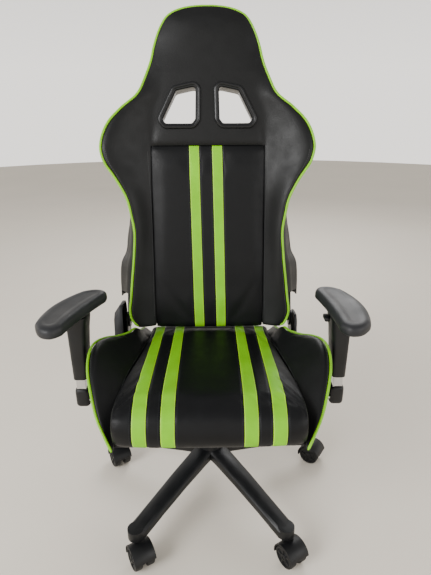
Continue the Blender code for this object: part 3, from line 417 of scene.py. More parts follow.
def surface(name, grid, uv=None, caps=False, sharp=40.0, outward=True):
    """A mesh over a (rows, columns, 3) grid; caps close its first and last rows at their middles."""
    if caps:
        ends = [np.repeat(row.mean(axis=0)[None, None], grid.shape[1], axis=1) for row in (grid[0], grid[-1])]
        grid = np.concatenate([ends[0], grid, ends[1]])
        if uv is not None:
            uv = np.concatenate([uv[:1], uv, uv[-1:]])
    rows, columns = grid.shape[:2]
    index = np.arange(rows * columns).reshape(rows, columns)
    quads = np.stack([index[:-1, :-1], index[:-1, 1:], index[1:, 1:], index[1:, :-1]], axis=-1).reshape(-1, 4)
    mesh = bpy.data.meshes.new(name)
    mesh.from_pydata(grid.reshape(-1, 3).tolist(), [], quads.tolist())
    if uv is not None:
        layer = mesh.uv_layers.new(name="skin")
        layer.data.foreach_set("uv", uv.reshape(-1, 2)[quads.ravel()].astype(np.float32).ravel())
    return cleaned(mesh, sharp, outward)


def merged(name, grids, sharp=40.0):
    """Several closed grids as one mesh."""
    bm = bmesh.new()
    for grid in grids:
        part = surface("part", grid, caps=True, sharp=sharp)
        bm.from_mesh(part)
        bpy.data.meshes.remove(part)
    mesh = bpy.data.meshes.new(name)
    bm.to_mesh(mesh)
    bm.free()
    mesh.shade_smooth()
    mesh.set_sharp_from_angle(angle=math.radians(sharp))
    return mesh


def linked(name, mesh):
    """A new object that holds the mesh, in the scene."""
    made = bpy.data.objects.new(name, mesh)
    bpy.context.scene.collection.objects.link(made)
    return made


def baked(obj, sharp=40.0):
    """Applies the object's modifiers to its own mesh."""
    bpy.context.view_layer.update()
    graph = bpy.context.evaluated_depsgraph_get()
    mesh = bpy.data.meshes.new_from_object(obj.evaluated_get(graph), depsgraph=graph)
    obj.modifiers.clear()
    old = obj.data
    obj.data = mesh
    bpy.data.meshes.remove(old)
    mesh.shade_smooth()
    mesh.set_sharp_from_angle(angle=math.radians(sharp))
    return obj


def cut_away(obj, meshes):
    """Takes closed meshes out of an object."""
    for number, mesh in enumerate(meshes):
        cutter = linked(f"cutter_{number}", mesh)
        boolean = obj.modifiers.new("cut", "BOOLEAN")
        boolean.operation = "DIFFERENCE"
        boolean.object = cutter
        baked(obj)
        bpy.data.objects.remove(cutter, do_unlink=True)
    return obj


def smoothed(obj):
    """One live level of subdivision, the same in the viewport and in the render."""
    finer = obj.modifiers.new("finer", "SUBSURF")
    finer.levels = finer.render_levels = 1
    return obj


def settled(obj, body, paint, replaces=()):
    """Gives a piece its material and body, and hides the frame nodes it stands for."""
    obj.data.materials.clear()
    obj.data.materials.append(paint)
    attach(obj, body)
    if replaces:
        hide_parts(*replaces)
    return obj


def piece(name, mesh, body, paint, replaces=()):
    """A mesh as a finished piece of the chair."""
    return settled(linked(name, mesh), body, paint, replaces)


def refined(node, suffix, body, paint, width, segments=2):
    """A copy of a frame node with its triangles merged into flat faces and its edges rounded."""
    mesh = frame["nodes"][node].data.copy()
    mesh.name = f"{node}_{suffix}"
    bm = bmesh.new()
    bm.from_mesh(mesh)
    bmesh.ops.remove_doubles(bm, verts=bm.verts, dist=0.00002)
    bmesh.ops.dissolve_limit(
        bm, angle_limit=math.radians(0.6), use_dissolve_boundaries=False, verts=bm.verts, edges=bm.edges
    )
    bm.to_mesh(mesh)
    bm.free()
    obj = linked(f"{node}_{suffix}", mesh)
    bevel = obj.modifiers.new("edges", "BEVEL")
    bevel.width = width
    bevel.segments = segments
    bevel.limit_method = "ANGLE"
    bevel.angle_limit = math.radians(38)
    baked(obj, sharp=50.0)
    return settled(obj, body, paint, (node,))


def swollen(obj, held, pressure, cap):
    """Swells a closed skin with cloth pressure between its held points, moving none further than cap."""
    scene = bpy.context.scene
    rest = np.empty(len(obj.data.vertices) * 3, np.float32)
    obj.data.vertices.foreach_get("co", rest)
    rest = rest.reshape(-1, 3)
    group = obj.vertex_groups.new(name="held")
    group.add(np.flatnonzero(held(rest)).tolist(), 1.0, "REPLACE")
    cloth = obj.modifiers.new("swell", "CLOTH")
    cloth.settings.quality = 5
    cloth.settings.mass = 0.3
    cloth.settings.tension_stiffness = 18
    cloth.settings.compression_stiffness = 12
    cloth.settings.shear_stiffness = 8
    cloth.settings.bending_stiffness = 0.6
    cloth.settings.vertex_group_mass = group.name
    cloth.settings.use_pressure = True
    cloth.settings.uniform_pressure_force = pressure
    cloth.settings.effector_weights.gravity = 0
    cloth.collision_settings.use_collision = False
    cloth.point_cache.frame_start, cloth.point_cache.frame_end = 1, 20
    for step in range(1, 21):
        scene.frame_set(step)
    graph = bpy.context.evaluated_depsgraph_get()
    moved = np.empty_like(rest).ravel()
    obj.evaluated_get(graph).data.vertices.foreach_get("co", moved)
    change = moved.reshape(-1, 3) - rest
    size = np.linalg.norm(change, axis=1, keepdims=True)
    change *= np.minimum(1, cap / np.maximum(size, 1e-9))
    obj.modifiers.remove(cloth)
    obj.vertex_groups.remove(group)
    obj.data.vertices.foreach_set("co", (rest + change).ravel())
    obj.data.update()
    scene.frame_set(1)
    return obj


def tube_grid(path, radius, towards, around=12, taper=0.0):
    """A circle carried along a path, squared to it and to a fixed direction; ends may taper."""
    tangent = unit(np.gradient(path, axis=0))
    side = unit(np.cross(tangent, np.asarray(towards, float)))
    up = np.cross(side, tangent)
    angle = np.linspace(0, 2 * np.pi, around + 1)
    along = lengths(path)
    from_end = np.minimum(along, along[-1] - along)
    size = radius * (1 - taper * (1 - smooth_step(from_end, 0, 2 * radius)))
    size = size[:, None, None] if np.ndim(size) else size
    return path[:, None] + size * (
        np.cos(angle)[None, :, None] * side[:, None] + np.sin(angle)[None, :, None] * up[:, None]
    )


def turned_grid(profile, centre, axis=(0, 0, 1), steps=48):
    """(radius, height) rows turned about an axis through the centre."""
    profile = np.asarray(profile, float)
    axis = unit(np.asarray(axis, float))
    helper = np.array([1.0, 0, 0]) if abs(axis[0]) < 0.9 else np.array([0, 1.0, 0])
    side = unit(np.cross(axis, helper))
    up = np.cross(axis, side)
    angle = np.linspace(0, 2 * np.pi, steps + 1)
    ring = np.cos(angle)[:, None] * side + np.sin(angle)[:, None] * up
    return np.asarray(centre) + profile[:, :1, None] * ring[None] + profile[:, 1:, None] * axis[None, None]


# --- materials --------------------------------------------------------------------------------


def add(tree, kind, inputs=(), out=0, **settings):
    """Adds a shader node with its settings, values and links, and returns one of its outputs."""
    node = tree.nodes.new(kind)
    for name, value in settings.items():
        setattr(node, name, value)
    for socket, value in dict(inputs).items():
        if isinstance(value, bpy.types.NodeSocket):
            tree.links.new(value, node.inputs[socket])
        else:
            node.inputs[socket].default_value = value
    return node.outputs[out]


def start(name, **inputs):
    """A new material with its Principled shader's plain inputs set, and its object coordinates."""
    paint = bpy.data.materials.new(name)
    paint.use_nodes = True
    tree = paint.node_tree
    shader = tree.nodes["Principled BSDF"]
    for socket, value in inputs.items():
        shader.inputs[socket.replace("_", " ")].default_value = value
    return paint, tree, shader, add(tree, "ShaderNodeTexCoord", out="Object")


def finished(tree, shader, place, colour, drift, rough, *relief):
    """Joins a drifting colour, a drifting roughness and stacked bumps to the shader.

    drift is (amount, size in metres); rough is (low, high, size in metres) or a socket; each
    layer of the relief is (height, distance in metres, strength)."""
    amount, size = drift
    slow = add(tree, "ShaderNodeTexNoise", {"Vector": place, "Scale": 1 / size, "Detail": 3.0})
    limits = {"Value": slow, "From Min": 0.3, "From Max": 0.7, "To Min": 1 - amount, "To Max": 1 + amount}
    lift = add(tree, "ShaderNodeMapRange", limits)
    tone = add(tree, "ShaderNodeHueSaturation", {"Color": colour, "Value": lift})
    tree.links.new(tone, shader.inputs["Base Color"])
    if isinstance(rough, tuple):
        low, high, size = rough
        patches = add(tree, "ShaderNodeTexNoise", {"Vector": place, "Scale": 1 / size, "Detail": 4.0})
        limits = {"Value": patches, "From Min": 0.3, "From Max": 0.7, "To Min": low, "To Max": high}
        rough = add(tree, "ShaderNodeMapRange", limits)
    tree.links.new(rough, shader.inputs["Roughness"])
    below = {}
    for height, distance, strength in relief:
        bump = {"Height": height, "Distance": distance, "Strength": strength, **below}
        below = {"Normal": add(tree, "ShaderNodeBump", bump)}
    tree.links.new(below["Normal"], shader.inputs["Normal"])


def leather_grain(tree, place):
    """(roughness, relief) of embossed grain: rounded cells with fine creases between, over slow waves."""
    pebbles = add(tree, "ShaderNodeTexVoronoi", {"Vector": place, "Scale": 1 / GRAIN})
    crease_size = {"Vector": place, "Scale": 0.4 / GRAIN}
    edges = add(tree, "ShaderNodeTexVoronoi", crease_size, feature="DISTANCE_TO_EDGE")
    creases = add(tree, "ShaderNodeMapRange", {"Value": edges, "From Max": 0.10})
    waves = add(tree, "ShaderNodeTexNoise", {"Vector": place, "Scale": 18.0, "Detail": 1.0})
    raised = add(tree, "ShaderNodeMath", {0: 1.0, 1: pebbles}, operation="SUBTRACT")
    patches = add(tree, "ShaderNodeTexNoise", {"Vector": place, "Scale": 36.0, "Detail": 4.0})
    limits = {"Value": patches, "From Min": 0.3, "From Max": 0.7, "To Min": 0.32, "To Max": 0.44}
    worn = add(tree, "ShaderNodeMapRange", limits)
    rough = add(tree, "ShaderNodeMath", {0: pebbles, 1: 0.10, 2: worn}, operation="MULTIPLY_ADD")
    return rough, ((waves, 0.0016, 0.25), (creases, 0.00018, 0.30), (raised, 0.00025, 0.35))


def embossed_leather(name, code, specular):
    """Polyurethane leather, calendered onto cloth and embossed: near-black with a soft, broken sheen."""
    paint, tree, shader, place = start(name, Specular_IOR_Level=specular)
    rough, relief = leather_grain(tree, place)
    finished(tree, shader, place, linear(code), (0.14, 0.06), rough, *relief)
    return paint


def in_bands(tree, value, bands):
    """1 where the value lies within any (low, high) band."""
    total = None
    for low, high in bands:
        reach = {0: value, 1: (low + high) / 2, 2: (high - low) / 2}
        inside = add(tree, "ShaderNodeMath", reach, operation="COMPARE")
        if total is not None:
            inside = add(tree, "ShaderNodeMath", {0: total, 1: inside}, operation="MAXIMUM")
        total = inside
    return total


def striped_leather(name, bands, both_sides, dyes_and_highlight):
    """Black panels joined to green ones by flat seams, with a painted highlight along each stripe's rolled
    edge and a line of thread.

    The skin map holds metres across and along, so a band is a plain range across."""
    paint, tree, shader, place = start(name, Specular_IOR_Level=0.20)
    uv = add(tree, "ShaderNodeUVMap", uv_map="skin")
    across = add(tree, "ShaderNodeSeparateXYZ", {0: uv}, out=0)
    along = add(tree, "ShaderNodeSeparateXYZ", {0: uv}, out=1)
    if both_sides:
        across = add(tree, "ShaderNodeMath", {0: across}, operation="ABSOLUTE")
    green = in_bands(tree, across, bands)
    lines = [line for band in bands for line in band]
    joint = in_bands(tree, across, [(line - JOINT_HALF, line + JOINT_HALF) for line in lines])
    # painted highlight: a lighter green band just inside each side of a stripe, for the light the rolled edge
    # catches
    rolled = [(low + PAINTED_HIGHLIGHT_START, low + PAINTED_HIGHLIGHT_END) for low, high in bands]
    rolled += [(high - PAINTED_HIGHLIGHT_END, high - PAINTED_HIGHLIGHT_START) for low, high in bands]
    edge = in_bands(tree, across, rolled)
    threads = [line for low, high in bands for line in (low - THREAD_OUT, high + THREAD_OUT)]
    thread = in_bands(tree, across, [(line - THREAD_HALF, line + THREAD_HALF) for line in threads])
    steps = add(tree, "ShaderNodeMath", {0: along, 1: STITCH_PITCH}, operation="DIVIDE")
    step = add(tree, "ShaderNodeMath", {0: steps}, operation="FRACT")
    dash = add(tree, "ShaderNodeMath", {0: step, 1: STITCH_SHARE}, operation="LESS_THAN")
    sewn = add(tree, "ShaderNodeMath", {0: thread, 1: dash}, operation="MULTIPLY")
    tone = dyes_and_highlight["black"]
    # the rolled edges take the painted highlight colour here, between the green and the dark joints
    for where, tone_key in ((green, "green"), (edge, "edge"), (joint, "black"), (sewn, "thread")):
        tone = add(tree, "ShaderNodeMix", {0: where, 6: tone, 7: dyes_and_highlight[tone_key]}, out=2, data_type="RGBA")
    rough, relief = leather_grain(tree, place)
    finished(tree, shader, place, tone, (0.08, 0.05), rough, *relief)
    return paint


def piping_leather(name, code):
    """Leather rolled round a cord: the same grain pulled tight, with small puckers across it."""
    paint, tree, shader, place = start(name, Specular_IOR_Level=0.35)
    puckers = add(tree, "ShaderNodeTexNoise", {"Vector": place, "Scale": 220.0, "Detail": 2.0})
    pebbles = add(tree, "ShaderNodeTexVoronoi", {"Vector": place, "Scale": 600.0})
    relief = ((puckers, 0.0009, 0.5), (pebbles, 0.0002, 0.4))
    finished(tree, shader, place, linear(code), (0.10, 0.03), (0.34, 0.48, 0.02), *relief)
    return paint


def moulded(name, code, rough, texture=0.0011, depth=0.00016, scuffs=0.25):
    """Injection-moulded plastic from a spark-eroded tool: an even fine texture with faint scuffs."""
    paint, tree, shader, place = start(name, Specular_IOR_Level=0.35)
    pits = add(tree, "ShaderNodeTexNoise", {"Vector": place, "Scale": 1 / texture, "Detail": 2.0})
    flow = add(tree, "ShaderNodeTexNoise", {"Vector": place, "Scale": 28.0, "Detail": 3.0})
    drawn = add(tree, "ShaderNodeMapping", {"Vector": place, "Rotation": (0.4, 0.2, 0.6), "Scale": (1, 6, 1)})
    rubs = add(tree, "ShaderNodeTexNoise", {"Vector": drawn, "Scale": 160.0, "Detail": 5.0, "Roughness": 0.7})
    few = {"Value": rubs, "From Min": 0.60, "From Max": 0.78, "To Max": scuffs}
    marks = add(tree, "ShaderNodeMapRange", few)
    limits = {"Value": flow, "From Min": 0.3, "From Max": 0.7, "To Min": rough[0], "To Max": rough[1]}
    even = add(tree, "ShaderNodeMapRange", limits)
    rubbed = add(tree, "ShaderNodeMath", {0: marks, 1: 0.35, 2: even}, operation="MULTIPLY_ADD")
    base = linear(code)
    lighter = (*(min(1.0, channel * 2.0 + 0.008) for channel in base[:3]), 1.0)
    tone = add(tree, "ShaderNodeMix", {0: marks, 6: base, 7: lighter}, out=2, data_type="RGBA")
    relief = ((flow, 0.0006, 0.15), (pits, depth, 0.55))
    finished(tree, shader, place, tone, (0.08, 0.04), rubbed, *relief)
    return paint


def skinned_foam(name, code):
    """Integral-skin polyurethane foam: a pebbled dark skin that takes a dull shine where arms rest."""
    paint, tree, shader, place = start(name, Specular_IOR_Level=0.35)
    pebbles = add(tree, "ShaderNodeTexVoronoi", {"Vector": place, "Scale": 550.0})
    raised = add(tree, "ShaderNodeMath", {0: 1.0, 1: pebbles}, operation="SUBTRACT")
    sag = add(tree, "ShaderNodeTexNoise", {"Vector": place, "Scale": 33.0, "Detail": 2.0})
    relief = ((sag, 0.0010, 0.22), (raised, 0.00022, 0.40))
    finished(tree, shader, place, linear(code), (0.10, 0.05), (0.40, 0.54, 0.05), *relief)
    return paint


def powder_coated(name, code):
    """Powder coat baked on steel: a slight orange peel and a few dull rubs."""
    paint, tree, shader, place = start(name, Specular_IOR_Level=0.40)
    peel = add(tree, "ShaderNodeTexNoise", {"Vector": place, "Scale": 450.0, "Detail": 1.0})
    finished(tree, shader, place, linear(code), (0.10, 0.03), (0.34, 0.50, 0.018), (peel, 0.0003, 0.5))
    return paint


def ground_steel(name, code, lines, rough):
    """Steel ground round its axis: fine lines in the finish and a slow stain in the shine."""
    paint, tree, shader, place = start(name, Metallic=1.0)
    drawn = add(tree, "ShaderNodeMapping", {"Vector": place, "Scale": lines})
    grind = add(tree, "ShaderNodeTexNoise", {"Vector": drawn, "Scale": 1.0, "Detail": 2.0, "Roughness": 0.6})
    finished(tree, shader, place, linear(code), (0.08, 0.02), (*rough, 0.02), (grind, 0.00008, 0.35))
    return paint


def felt_lining(name, code):
    """Spun-bonded polypropylene: a thin bonded web with no shine."""
    paint, tree, shader, place = start(name, Sheen_Weight=0.2, Sheen_Roughness=0.6)
    web = add(tree, "ShaderNodeTexNoise", {"Vector": place, "Scale": 450.0, "Detail": 6.0, "Roughness": 0.75})
    finished(tree, shader, place, linear(code), (0.18, 0.004), (0.75, 0.95, 0.003), (web, 0.0004, 0.5))
    return paint


def sewing_thread(name, code):
    """Bonded polyester thread: two plies laid round each other, with a slight shine."""
    paint, tree, shader, place = start(name, Sheen_Weight=0.3, Sheen_Roughness=0.4)
    plies = add(tree, "ShaderNodeTexNoise", {"Vector": place, "Scale": 1400.0, "Detail": 1.0})
    finished(tree, shader, place, linear(code), (0.15, 0.002), (0.45, 0.60, 0.002), (plies, 0.0002, 0.6))
    return paint


def matt_floor(name, colour):
    """Matt floor paint, rolled on: an even pale tone with the roller's faint texture."""
    paint, tree, shader, place = start(name, Specular_IOR_Level=0.3)
    rolled = add(tree, "ShaderNodeTexNoise", {"Vector": place, "Scale": 100.0, "Detail": 3.0})
    finished(tree, shader, place, colour, (0.02, 0.6), (0.68, 0.80, 0.3), (rolled, 0.0005, 0.2))
    return paint


# --- shapes of the upholstery -----------------------------------------------------------------


def seam_columns(lines, half, spacing=0.010):
    """Column positions across a panel, close together at its seams and at its two edges."""
    offsets = (-0.0050, -0.0028, -0.0014, 0.0, 0.0014, 0.0028, 0.0050)
    inner = near_lines(lines, offsets, np.arange(0, half - 0.012, spacing))
    edge = half - np.array([0.018, 0.012, 0.008, 0.005, 0.0028, 0.0012, 0.0])
    inner = inner[inner < half - 0.020]
    right = np.unique(np.concatenate([inner, edge, [0.0]]))
    return np.concatenate([-right[:0:-1], right])


def panel_inset(across, half, lines, crown, seam, groove):
    """How far a skin lies inside its profile: a crown over the width, a sunk edge, grooves at the seams."""
    part = np.abs(across) / half
    sunk = crown * part**4 + seam * np.exp(-(half - np.abs(across)) / SEAM_REACH)
    for line in lines:
        sunk = sunk + groove * bell(np.abs(across - line), GROOVE_WIDTH)
    return sunk


def closed_profile(skin, back):
    """(line, outward normals, points of skin): a skin line closed by straight runs through the back."""
    straight = np.concatenate([skin[-1:], np.asarray(back, float), skin[:1]])
    runs = [np.linspace(a, b, 14)[1:] for a, b in zip(straight, straight[1:])]
    line = np.concatenate([skin, *runs])
    tangent = unit(np.gradient(line, axis=0))
    normal = np.stack([tangent[:, 1], -tangent[:, 0]], axis=1)
    middle = line.mean(axis=0)
    if np.sum(normal * (line - middle)) < 0:
        normal = -normal
    return line, normal, len(skin)


def cushion_skin(crown, seam, groove):
    """(grid, map) of the seat cushion: its side profile carried across, less the inset."""
    skin = through(SEAT_PROFILE, 110)
    back = ((-0.300, BOARD_TOP), (0.1040, BOARD_TOP))
    line, normal, count = closed_profile(skin, back)
    lines = [side * edge for side in (-1, 1) for edge in SEAT_STRIPE_EDGES]
    columns = seam_columns(SEAT_STRIPE_EDGES, SEAT_HALF)
    inset = panel_inset(columns, SEAT_HALF, lines, crown, seam, groove)
    sewn = np.zeros(len(line))
    sewn[:count] = 1.0
    sewn[count - 1] = sewn[0] = 0.4
    spread = smooth_step(-line[:, 0], -SEAT_TAPER[0], -SEAT_TAPER[1])[:, None]
    rear = np.interp(np.abs(columns), SEAT_FRONT_KEYS, SEAT_REAR_KEYS) * np.sign(columns)
    across = (1 - spread) * rear[None] + spread * columns[None]
    depth = inset[None] * sewn[:, None]
    y = line[:, :1] - depth * normal[:, :1]
    z = np.maximum(line[:, 1:] - depth * normal[:, 1:], BOARD_TOP)
    grid = np.stack([across, y, z], axis=-1)
    along = np.repeat(lengths(line)[:, None], len(columns), axis=1)
    flat = np.stack([np.repeat(columns[None], len(line), 0), along], -1)
    return side_closed(grid), side_closed(flat)


def side_closed(grid):
    """The grid with its first and last columns drawn in to their middles, as flat sides."""
    first, last = grid[:, :1], grid[:, -1:]
    inner = [np.repeat(edge.mean(axis=0, keepdims=True), len(grid), axis=0) for edge in (first, last)]
    left = [inner[0], 0.5 * inner[0] + 0.5 * first, 0.06 * inner[0] + 0.94 * first]
    right = [0.06 * inner[1] + 0.94 * last, 0.5 * inner[1] + 0.5 * last, inner[1]]
    return np.concatenate([*left, grid, *right], axis=1)


def ridge_rows(inner, low, spans, counts):
    """A padded ridge's rings: up the inner wall, over the skin to the piping, down the flank, back below."""
    top, flank = spans
    wall = np.stack([np.stack([inner, low], -1), top[:, 0]], axis=1)
    under = np.stack([flank[:, -1], np.stack([inner, low], -1)], axis=1)
    return chained(
        across_rows(wall, counts[0]), across_rows(top, counts[1]), across_rows(flank, counts[2]),
        across_rows(under, counts[3]),
    )


def bolster_skin(side, puff):
    """(grid, map) of a seat bolster: sections from the seam up to the piping and down to the board."""
    table = np.asarray(BOLSTER_STATIONS)
    stations = across_rows(table[None], 96)[0]
    y, seam, crest_x, crest_z = stations.T
    spread = smooth_step(-y, -SEAT_TAPER[0], -SEAT_TAPER[1])
    inner = (1 - spread) * SEAT_REAR_KEYS[-1] + spread * SEAT_HALF + 0.0008
    low = np.full_like(y, BOARD_TOP)
    board = np.interp(y, (-0.292, 0.135), (0.205, 0.232))
    foot = np.maximum(inner + 0.006, np.minimum(board, crest_x) - 0.004)
    rise, reach = crest_z - seam, crest_x - inner
    full = puff * smooth_step(reach, 0.006, 0.06)
    top = np.stack(
        [
            np.stack([inner, seam - 0.003], -1),
            np.stack([inner + 0.06 * reach, seam + 0.03 * rise + 0.3 * full], -1),
            np.stack([inner + 0.30 * reach, seam + 0.22 * rise + full], -1),
            np.stack([inner + 0.62 * reach, seam + 0.62 * rise + full], -1),
            np.stack([crest_x - 0.16 * reach, crest_z - 0.07 * rise + 0.5 * full], -1),
            np.stack([crest_x, crest_z - 0.12 * rise], -1),
        ],
        axis=1,
    )
    height = crest_z - low
    flank = np.stack(
        [
            top[:, -1],
            np.stack([crest_x + 0.3 * full, crest_z - 0.25 * height], -1),
            np.stack([crest_x - 0.1 * (crest_x - foot), crest_z - 0.52 * height], -1),
            np.stack([foot + 0.45 * (crest_x - foot), low + 0.18 * height], -1),
            np.stack([foot, low], -1),
        ],
        axis=1,
    )
    rings = ridge_rows(inner, low, (top, flank), (5, 24, 16, 6))
    x, z = rings[..., 0], rings[..., 1]
    grid = np.stack([side * x, np.repeat(y[:, None], x.shape[1], 1), z], axis=-1)
    return grid, skin_map(grid)


def skin_map(grid):
    """Metres along rows and down columns, measured at the grid's middle lines."""
    middle = grid[len(grid) // 2]
    across = np.repeat(lengths(middle)[None], len(grid), axis=0)
    along = np.repeat(lengths(grid[:, grid.shape[1] // 4])[:, None], grid.shape[1], axis=1)
    return np.stack([across, along], axis=-1)


def panel_skin(crown, seam, groove):
    """(grid, map) of the backrest's centre panel, made as the cushion is."""
    skin = through(PANEL_PROFILE, 90)
    line, normal, count = closed_profile(skin, ((PANEL_TOP, PAD_REAR - 0.0005), (-0.0080, PAD_REAR - 0.0025)))
    edges = [edge for stripe in PANEL_STRIPES for edge in stripe]
    positive = seam_columns(np.abs(edges), PANEL_HALF)
    inset = panel_inset(positive, PANEL_HALF, edges, crown, seam, groove)
    sewn = np.zeros(len(line))
    sewn[:count] = 1.0
    depth = inset[None] * sewn[:, None]
    up = line[:, :1] - 0.3 * depth * normal[:, :1]
    back = np.minimum(line[:, 1:] - depth * normal[:, 1:], PAD_REAR - 0.0005)
    across = np.repeat(positive[None], len(line), axis=0)
    lean = PANEL_LEAN * (1 - 2 * np.clip(up / PANEL_TOP, 0, 1)) * (1 - (across / PANEL_HALF) ** 2)
    grid = to_chair(np.stack([across + lean, up, back], axis=-1))
    along = np.repeat(lengths(line)[:, None], len(positive), axis=1)
    return side_closed(grid), side_closed(np.stack([across, along], -1))


def wing_depth(part, rise, reach, puff):
    """Depth of the padded front between the flat middle (part 0) and the piping (part 1)."""
    shape = smooth_step(np.clip(part, 0, 1) ** RISE_BIAS, 0, 1)
    swell = puff * np.sin(np.pi * np.clip(part, 0, 1)) * smooth_step(reach, 0.01, 0.06)
    return PAD_FRONT + rise * shape - swell + 0.003 * smooth_step(part, 0.9, 1.0)


def valley_sink(across, height, seam):
    """The seam between the middle and the wings; above the joining seam it widens and dies out."""
    fade = 1 - smooth_step(height, PANEL_TOP, 0.600)
    away = np.abs(across - (PANEL_HALF - 0.028 * (1 - fade)))
    soft = 0.020 * (1 - fade)
    return seam * fade**2 * np.exp(-(np.sqrt(away**2 + soft**2) - soft) / (0.0065 + 0.020 * (1 - fade)))


def flank_half(height):
    """Half width where the padding meets the rear shell, stepping in at the hinge plates."""
    cover = column(COVER_OUTLINE, 1, height) - 0.001
    return np.where(height <= HINGE_NOTCH_TOP, HINGE_NOTCH_HALF, cover)


def wing_skin(side, puff, seam):
    """(grid, map) of a backrest wing: sections across it, stacked up to the head section."""
    levels = np.linspace(BACK_OUTLINE[0][0], PANEL_TOP + 0.0004, 96)
    height = np.unique(np.concatenate([levels, [HINGE_NOTCH_TOP, HINGE_NOTCH_TOP + 0.0004]]))
    half, ahead = column(BACK_OUTLINE, 1, height), column(BACK_OUTLINE, 2, height)
    inner = np.full_like(height, PANEL_HALF + 0.0006)
    reach = half - inner
    part = np.unique(np.concatenate([np.linspace(0, 1, 26), [0.008, 0.02, 0.06, 0.97]]))
    across = inner[:, None] + part[None] * reach[:, None]
    depth = wing_depth(part[None], ahead[:, None], reach[:, None], puff)
    depth = depth + valley_sink(across, height[:, None], seam)
    front = np.stack([across, depth], axis=-1)
    rear = flank_half(height)
    mid_depth = (front[:, -1, 1] + PAD_REAR) / 2
    flank = np.stack(
        [
            front[:, -1],
            np.stack([0.7 * half + 0.3 * rear + 0.0030, 0.75 * front[:, -1, 1] + 0.25 * PAD_REAR], -1),
            np.stack([(half + rear) / 2 + 0.0030, mid_depth], -1),
            np.stack([rear, np.full_like(rear, PAD_REAR)], -1),
        ],
        axis=1,
    )
    back = np.full_like(inner, PAD_REAR)
    rings = ridge_rows(inner, back, (front, flank), (5, front.shape[1] + 4, 14, 6))
    grid = np.stack([rings[..., 0], np.repeat(height[:, None], rings.shape[1], 1), rings[..., 1]], axis=-1)
    foot = [rounded_end(grid[0], grid[0, 0, 1] - drop, scale) for drop, scale in WING_FOOT]
    grid = mirror_x(to_chair(np.concatenate([*foot, grid])), side)
    return grid, skin_map(grid)


def rounded_end(ring, height, scale):
    """A ring drawn in about its middle and moved to another height, to round an end over."""
    middle = ring.mean(axis=0)
    made = middle + (ring - middle) * scale
    made[:, 1] = height
    return made[None]


def arch_outline(table, top, start_at, count, columns):
    """A smooth outline up one side, over the top and down the other: across, up and any further columns."""
    table = np.asarray(table, float)
    first = [start_at] + [float(column(table, k, np.array([start_at]))[0]) for k in range(1, table.shape[1])]
    rows = np.concatenate([[first], table[table[:, 0] > start_at + 0.004]])
    order = [1, 0, *range(2, columns)]
    right = rows[:, order]
    left = right[::-1] * np.array([-1.0] + [1.0] * (columns - 1))
    crown = np.array([[top[1], top[0], *top[2:]]])
    return through(np.concatenate([right, crown, left]), count)


def head_skin(puff, seam):
    """(grid, map) of the head section: strips from the rear middle round the outline to the front middle.

    Each strip runs from an outline point straight towards the middle line, level at the sides
    and fanned about the arch centre at the top."""
    outline = arch_outline(BACK_OUTLINE, BACK_TOP, PANEL_TOP, 240, 3)
    across, up, rise = outline.T
    spine = np.stack([np.zeros_like(up), np.clip(up, PANEL_TOP, ARCH_CENTRE)], axis=-1)
    edge = np.stack([across, up], axis=-1)
    far = np.linalg.norm(edge - spine, axis=1)
    level = PANEL_HALF / np.maximum(far, 1e-6)
    soft = (level**-8 + 0.72**-8) ** (-1 / 8)
    flat = level + smooth_step(up, PANEL_TOP, 0.540) * (soft - level)
    parts = np.unique(np.concatenate([np.linspace(0, 1, 34), [0.97, 0.985]]))
    front2d = spine[:, None] + parts[None, :, None] * (edge - spine)[:, None]
    part = (parts[None] - flat[:, None]) / (1 - flat[:, None])
    reach = far * (1 - flat)
    fullness = puff * (1 - smooth_step(up, 0.560, 0.640))
    depth = wing_depth(part, np.minimum(rise, 0)[:, None], reach[:, None], fullness[:, None])
    depth = depth + np.maximum(rise, 0)[:, None] * parts[None] ** 3
    u, v = np.abs(front2d[..., 0]), front2d[..., 1]
    depth = depth - 0.0040 * (1 - np.clip(u / PANEL_HALF, 0, 1) ** 2)
    depth = depth + valley_sink(u, v, seam)
    sewn = 1 - smooth_step(u, PANEL_HALF - 0.006, PANEL_HALF)
    depth = depth + seam * sewn * np.exp(-(v - PANEL_TOP) / 0.0065)
    front = np.concatenate([front2d, depth[..., None]], axis=-1)[:, ::-1]
    shrink = np.where(np.abs(across) > 0.03, flank_half(up) / np.maximum(np.abs(across), 1e-6), 0.985)
    rear2d = spine + (edge - spine) * np.clip(shrink, 0.90, 1.0)[:, None]
    crest, outward = front[:, 0, 2], 0.0030 * unit(edge - spine)
    flank = np.stack(
        [
            np.concatenate([rear2d, np.full((len(up), 1), PAD_REAR)], axis=1),
            np.concatenate([(edge + rear2d) / 2 + outward, (crest[:, None] + PAD_REAR) / 2], 1),
            np.concatenate([0.7 * edge + 0.3 * rear2d + outward, 0.75 * crest[:, None] + 0.25 * PAD_REAR], 1),
            front[:, 0],
        ],
        axis=1,
    )
    rear_middle = np.concatenate([spine, np.full((len(up), 1), PAD_REAR)], axis=1)
    rear = np.stack([rear_middle, flank[:, 0]], axis=1)
    strips = chained(across_rows(rear, 4), across_rows(flank, 14), front)
    grid = to_chair(strips)
    return grid, skin_map(grid)


def capped_strips(name, grid, uv):
    """The strips as one closed skin: the middle lines merge, and the open foot is filled flat."""
    mesh = surface(name, grid, uv, outward=False)
    bm = bmesh.new()
    bm.from_mesh(mesh)
    edges = [edge for edge in bm.edges if edge.is_boundary]
    bmesh.ops.holes_fill(bm, edges=edges, sides=0)
    bmesh.ops.triangulate(bm, faces=[face for face in bm.faces if len(face.verts) > 4])
    bmesh.ops.recalc_face_normals(bm, faces=bm.faces)
    bm.to_mesh(mesh)
    bm.free()
    mesh.set_sharp_from_angle(angle=math.radians(40))
    return mesh


def strap_rings(profile, side):
    """Rounded outlines of the strap opening, one for each (growth, depth) of a profile."""
    rings = []
    for grow, depth in profile:
        loop = rounded_loop(STRAP_HOLE, STRAP_CORNER, grow) * np.array([side, 1.0])
        rings.append(np.insert(loop, 2, depth, axis=1))
    return to_chair(np.stack(rings))


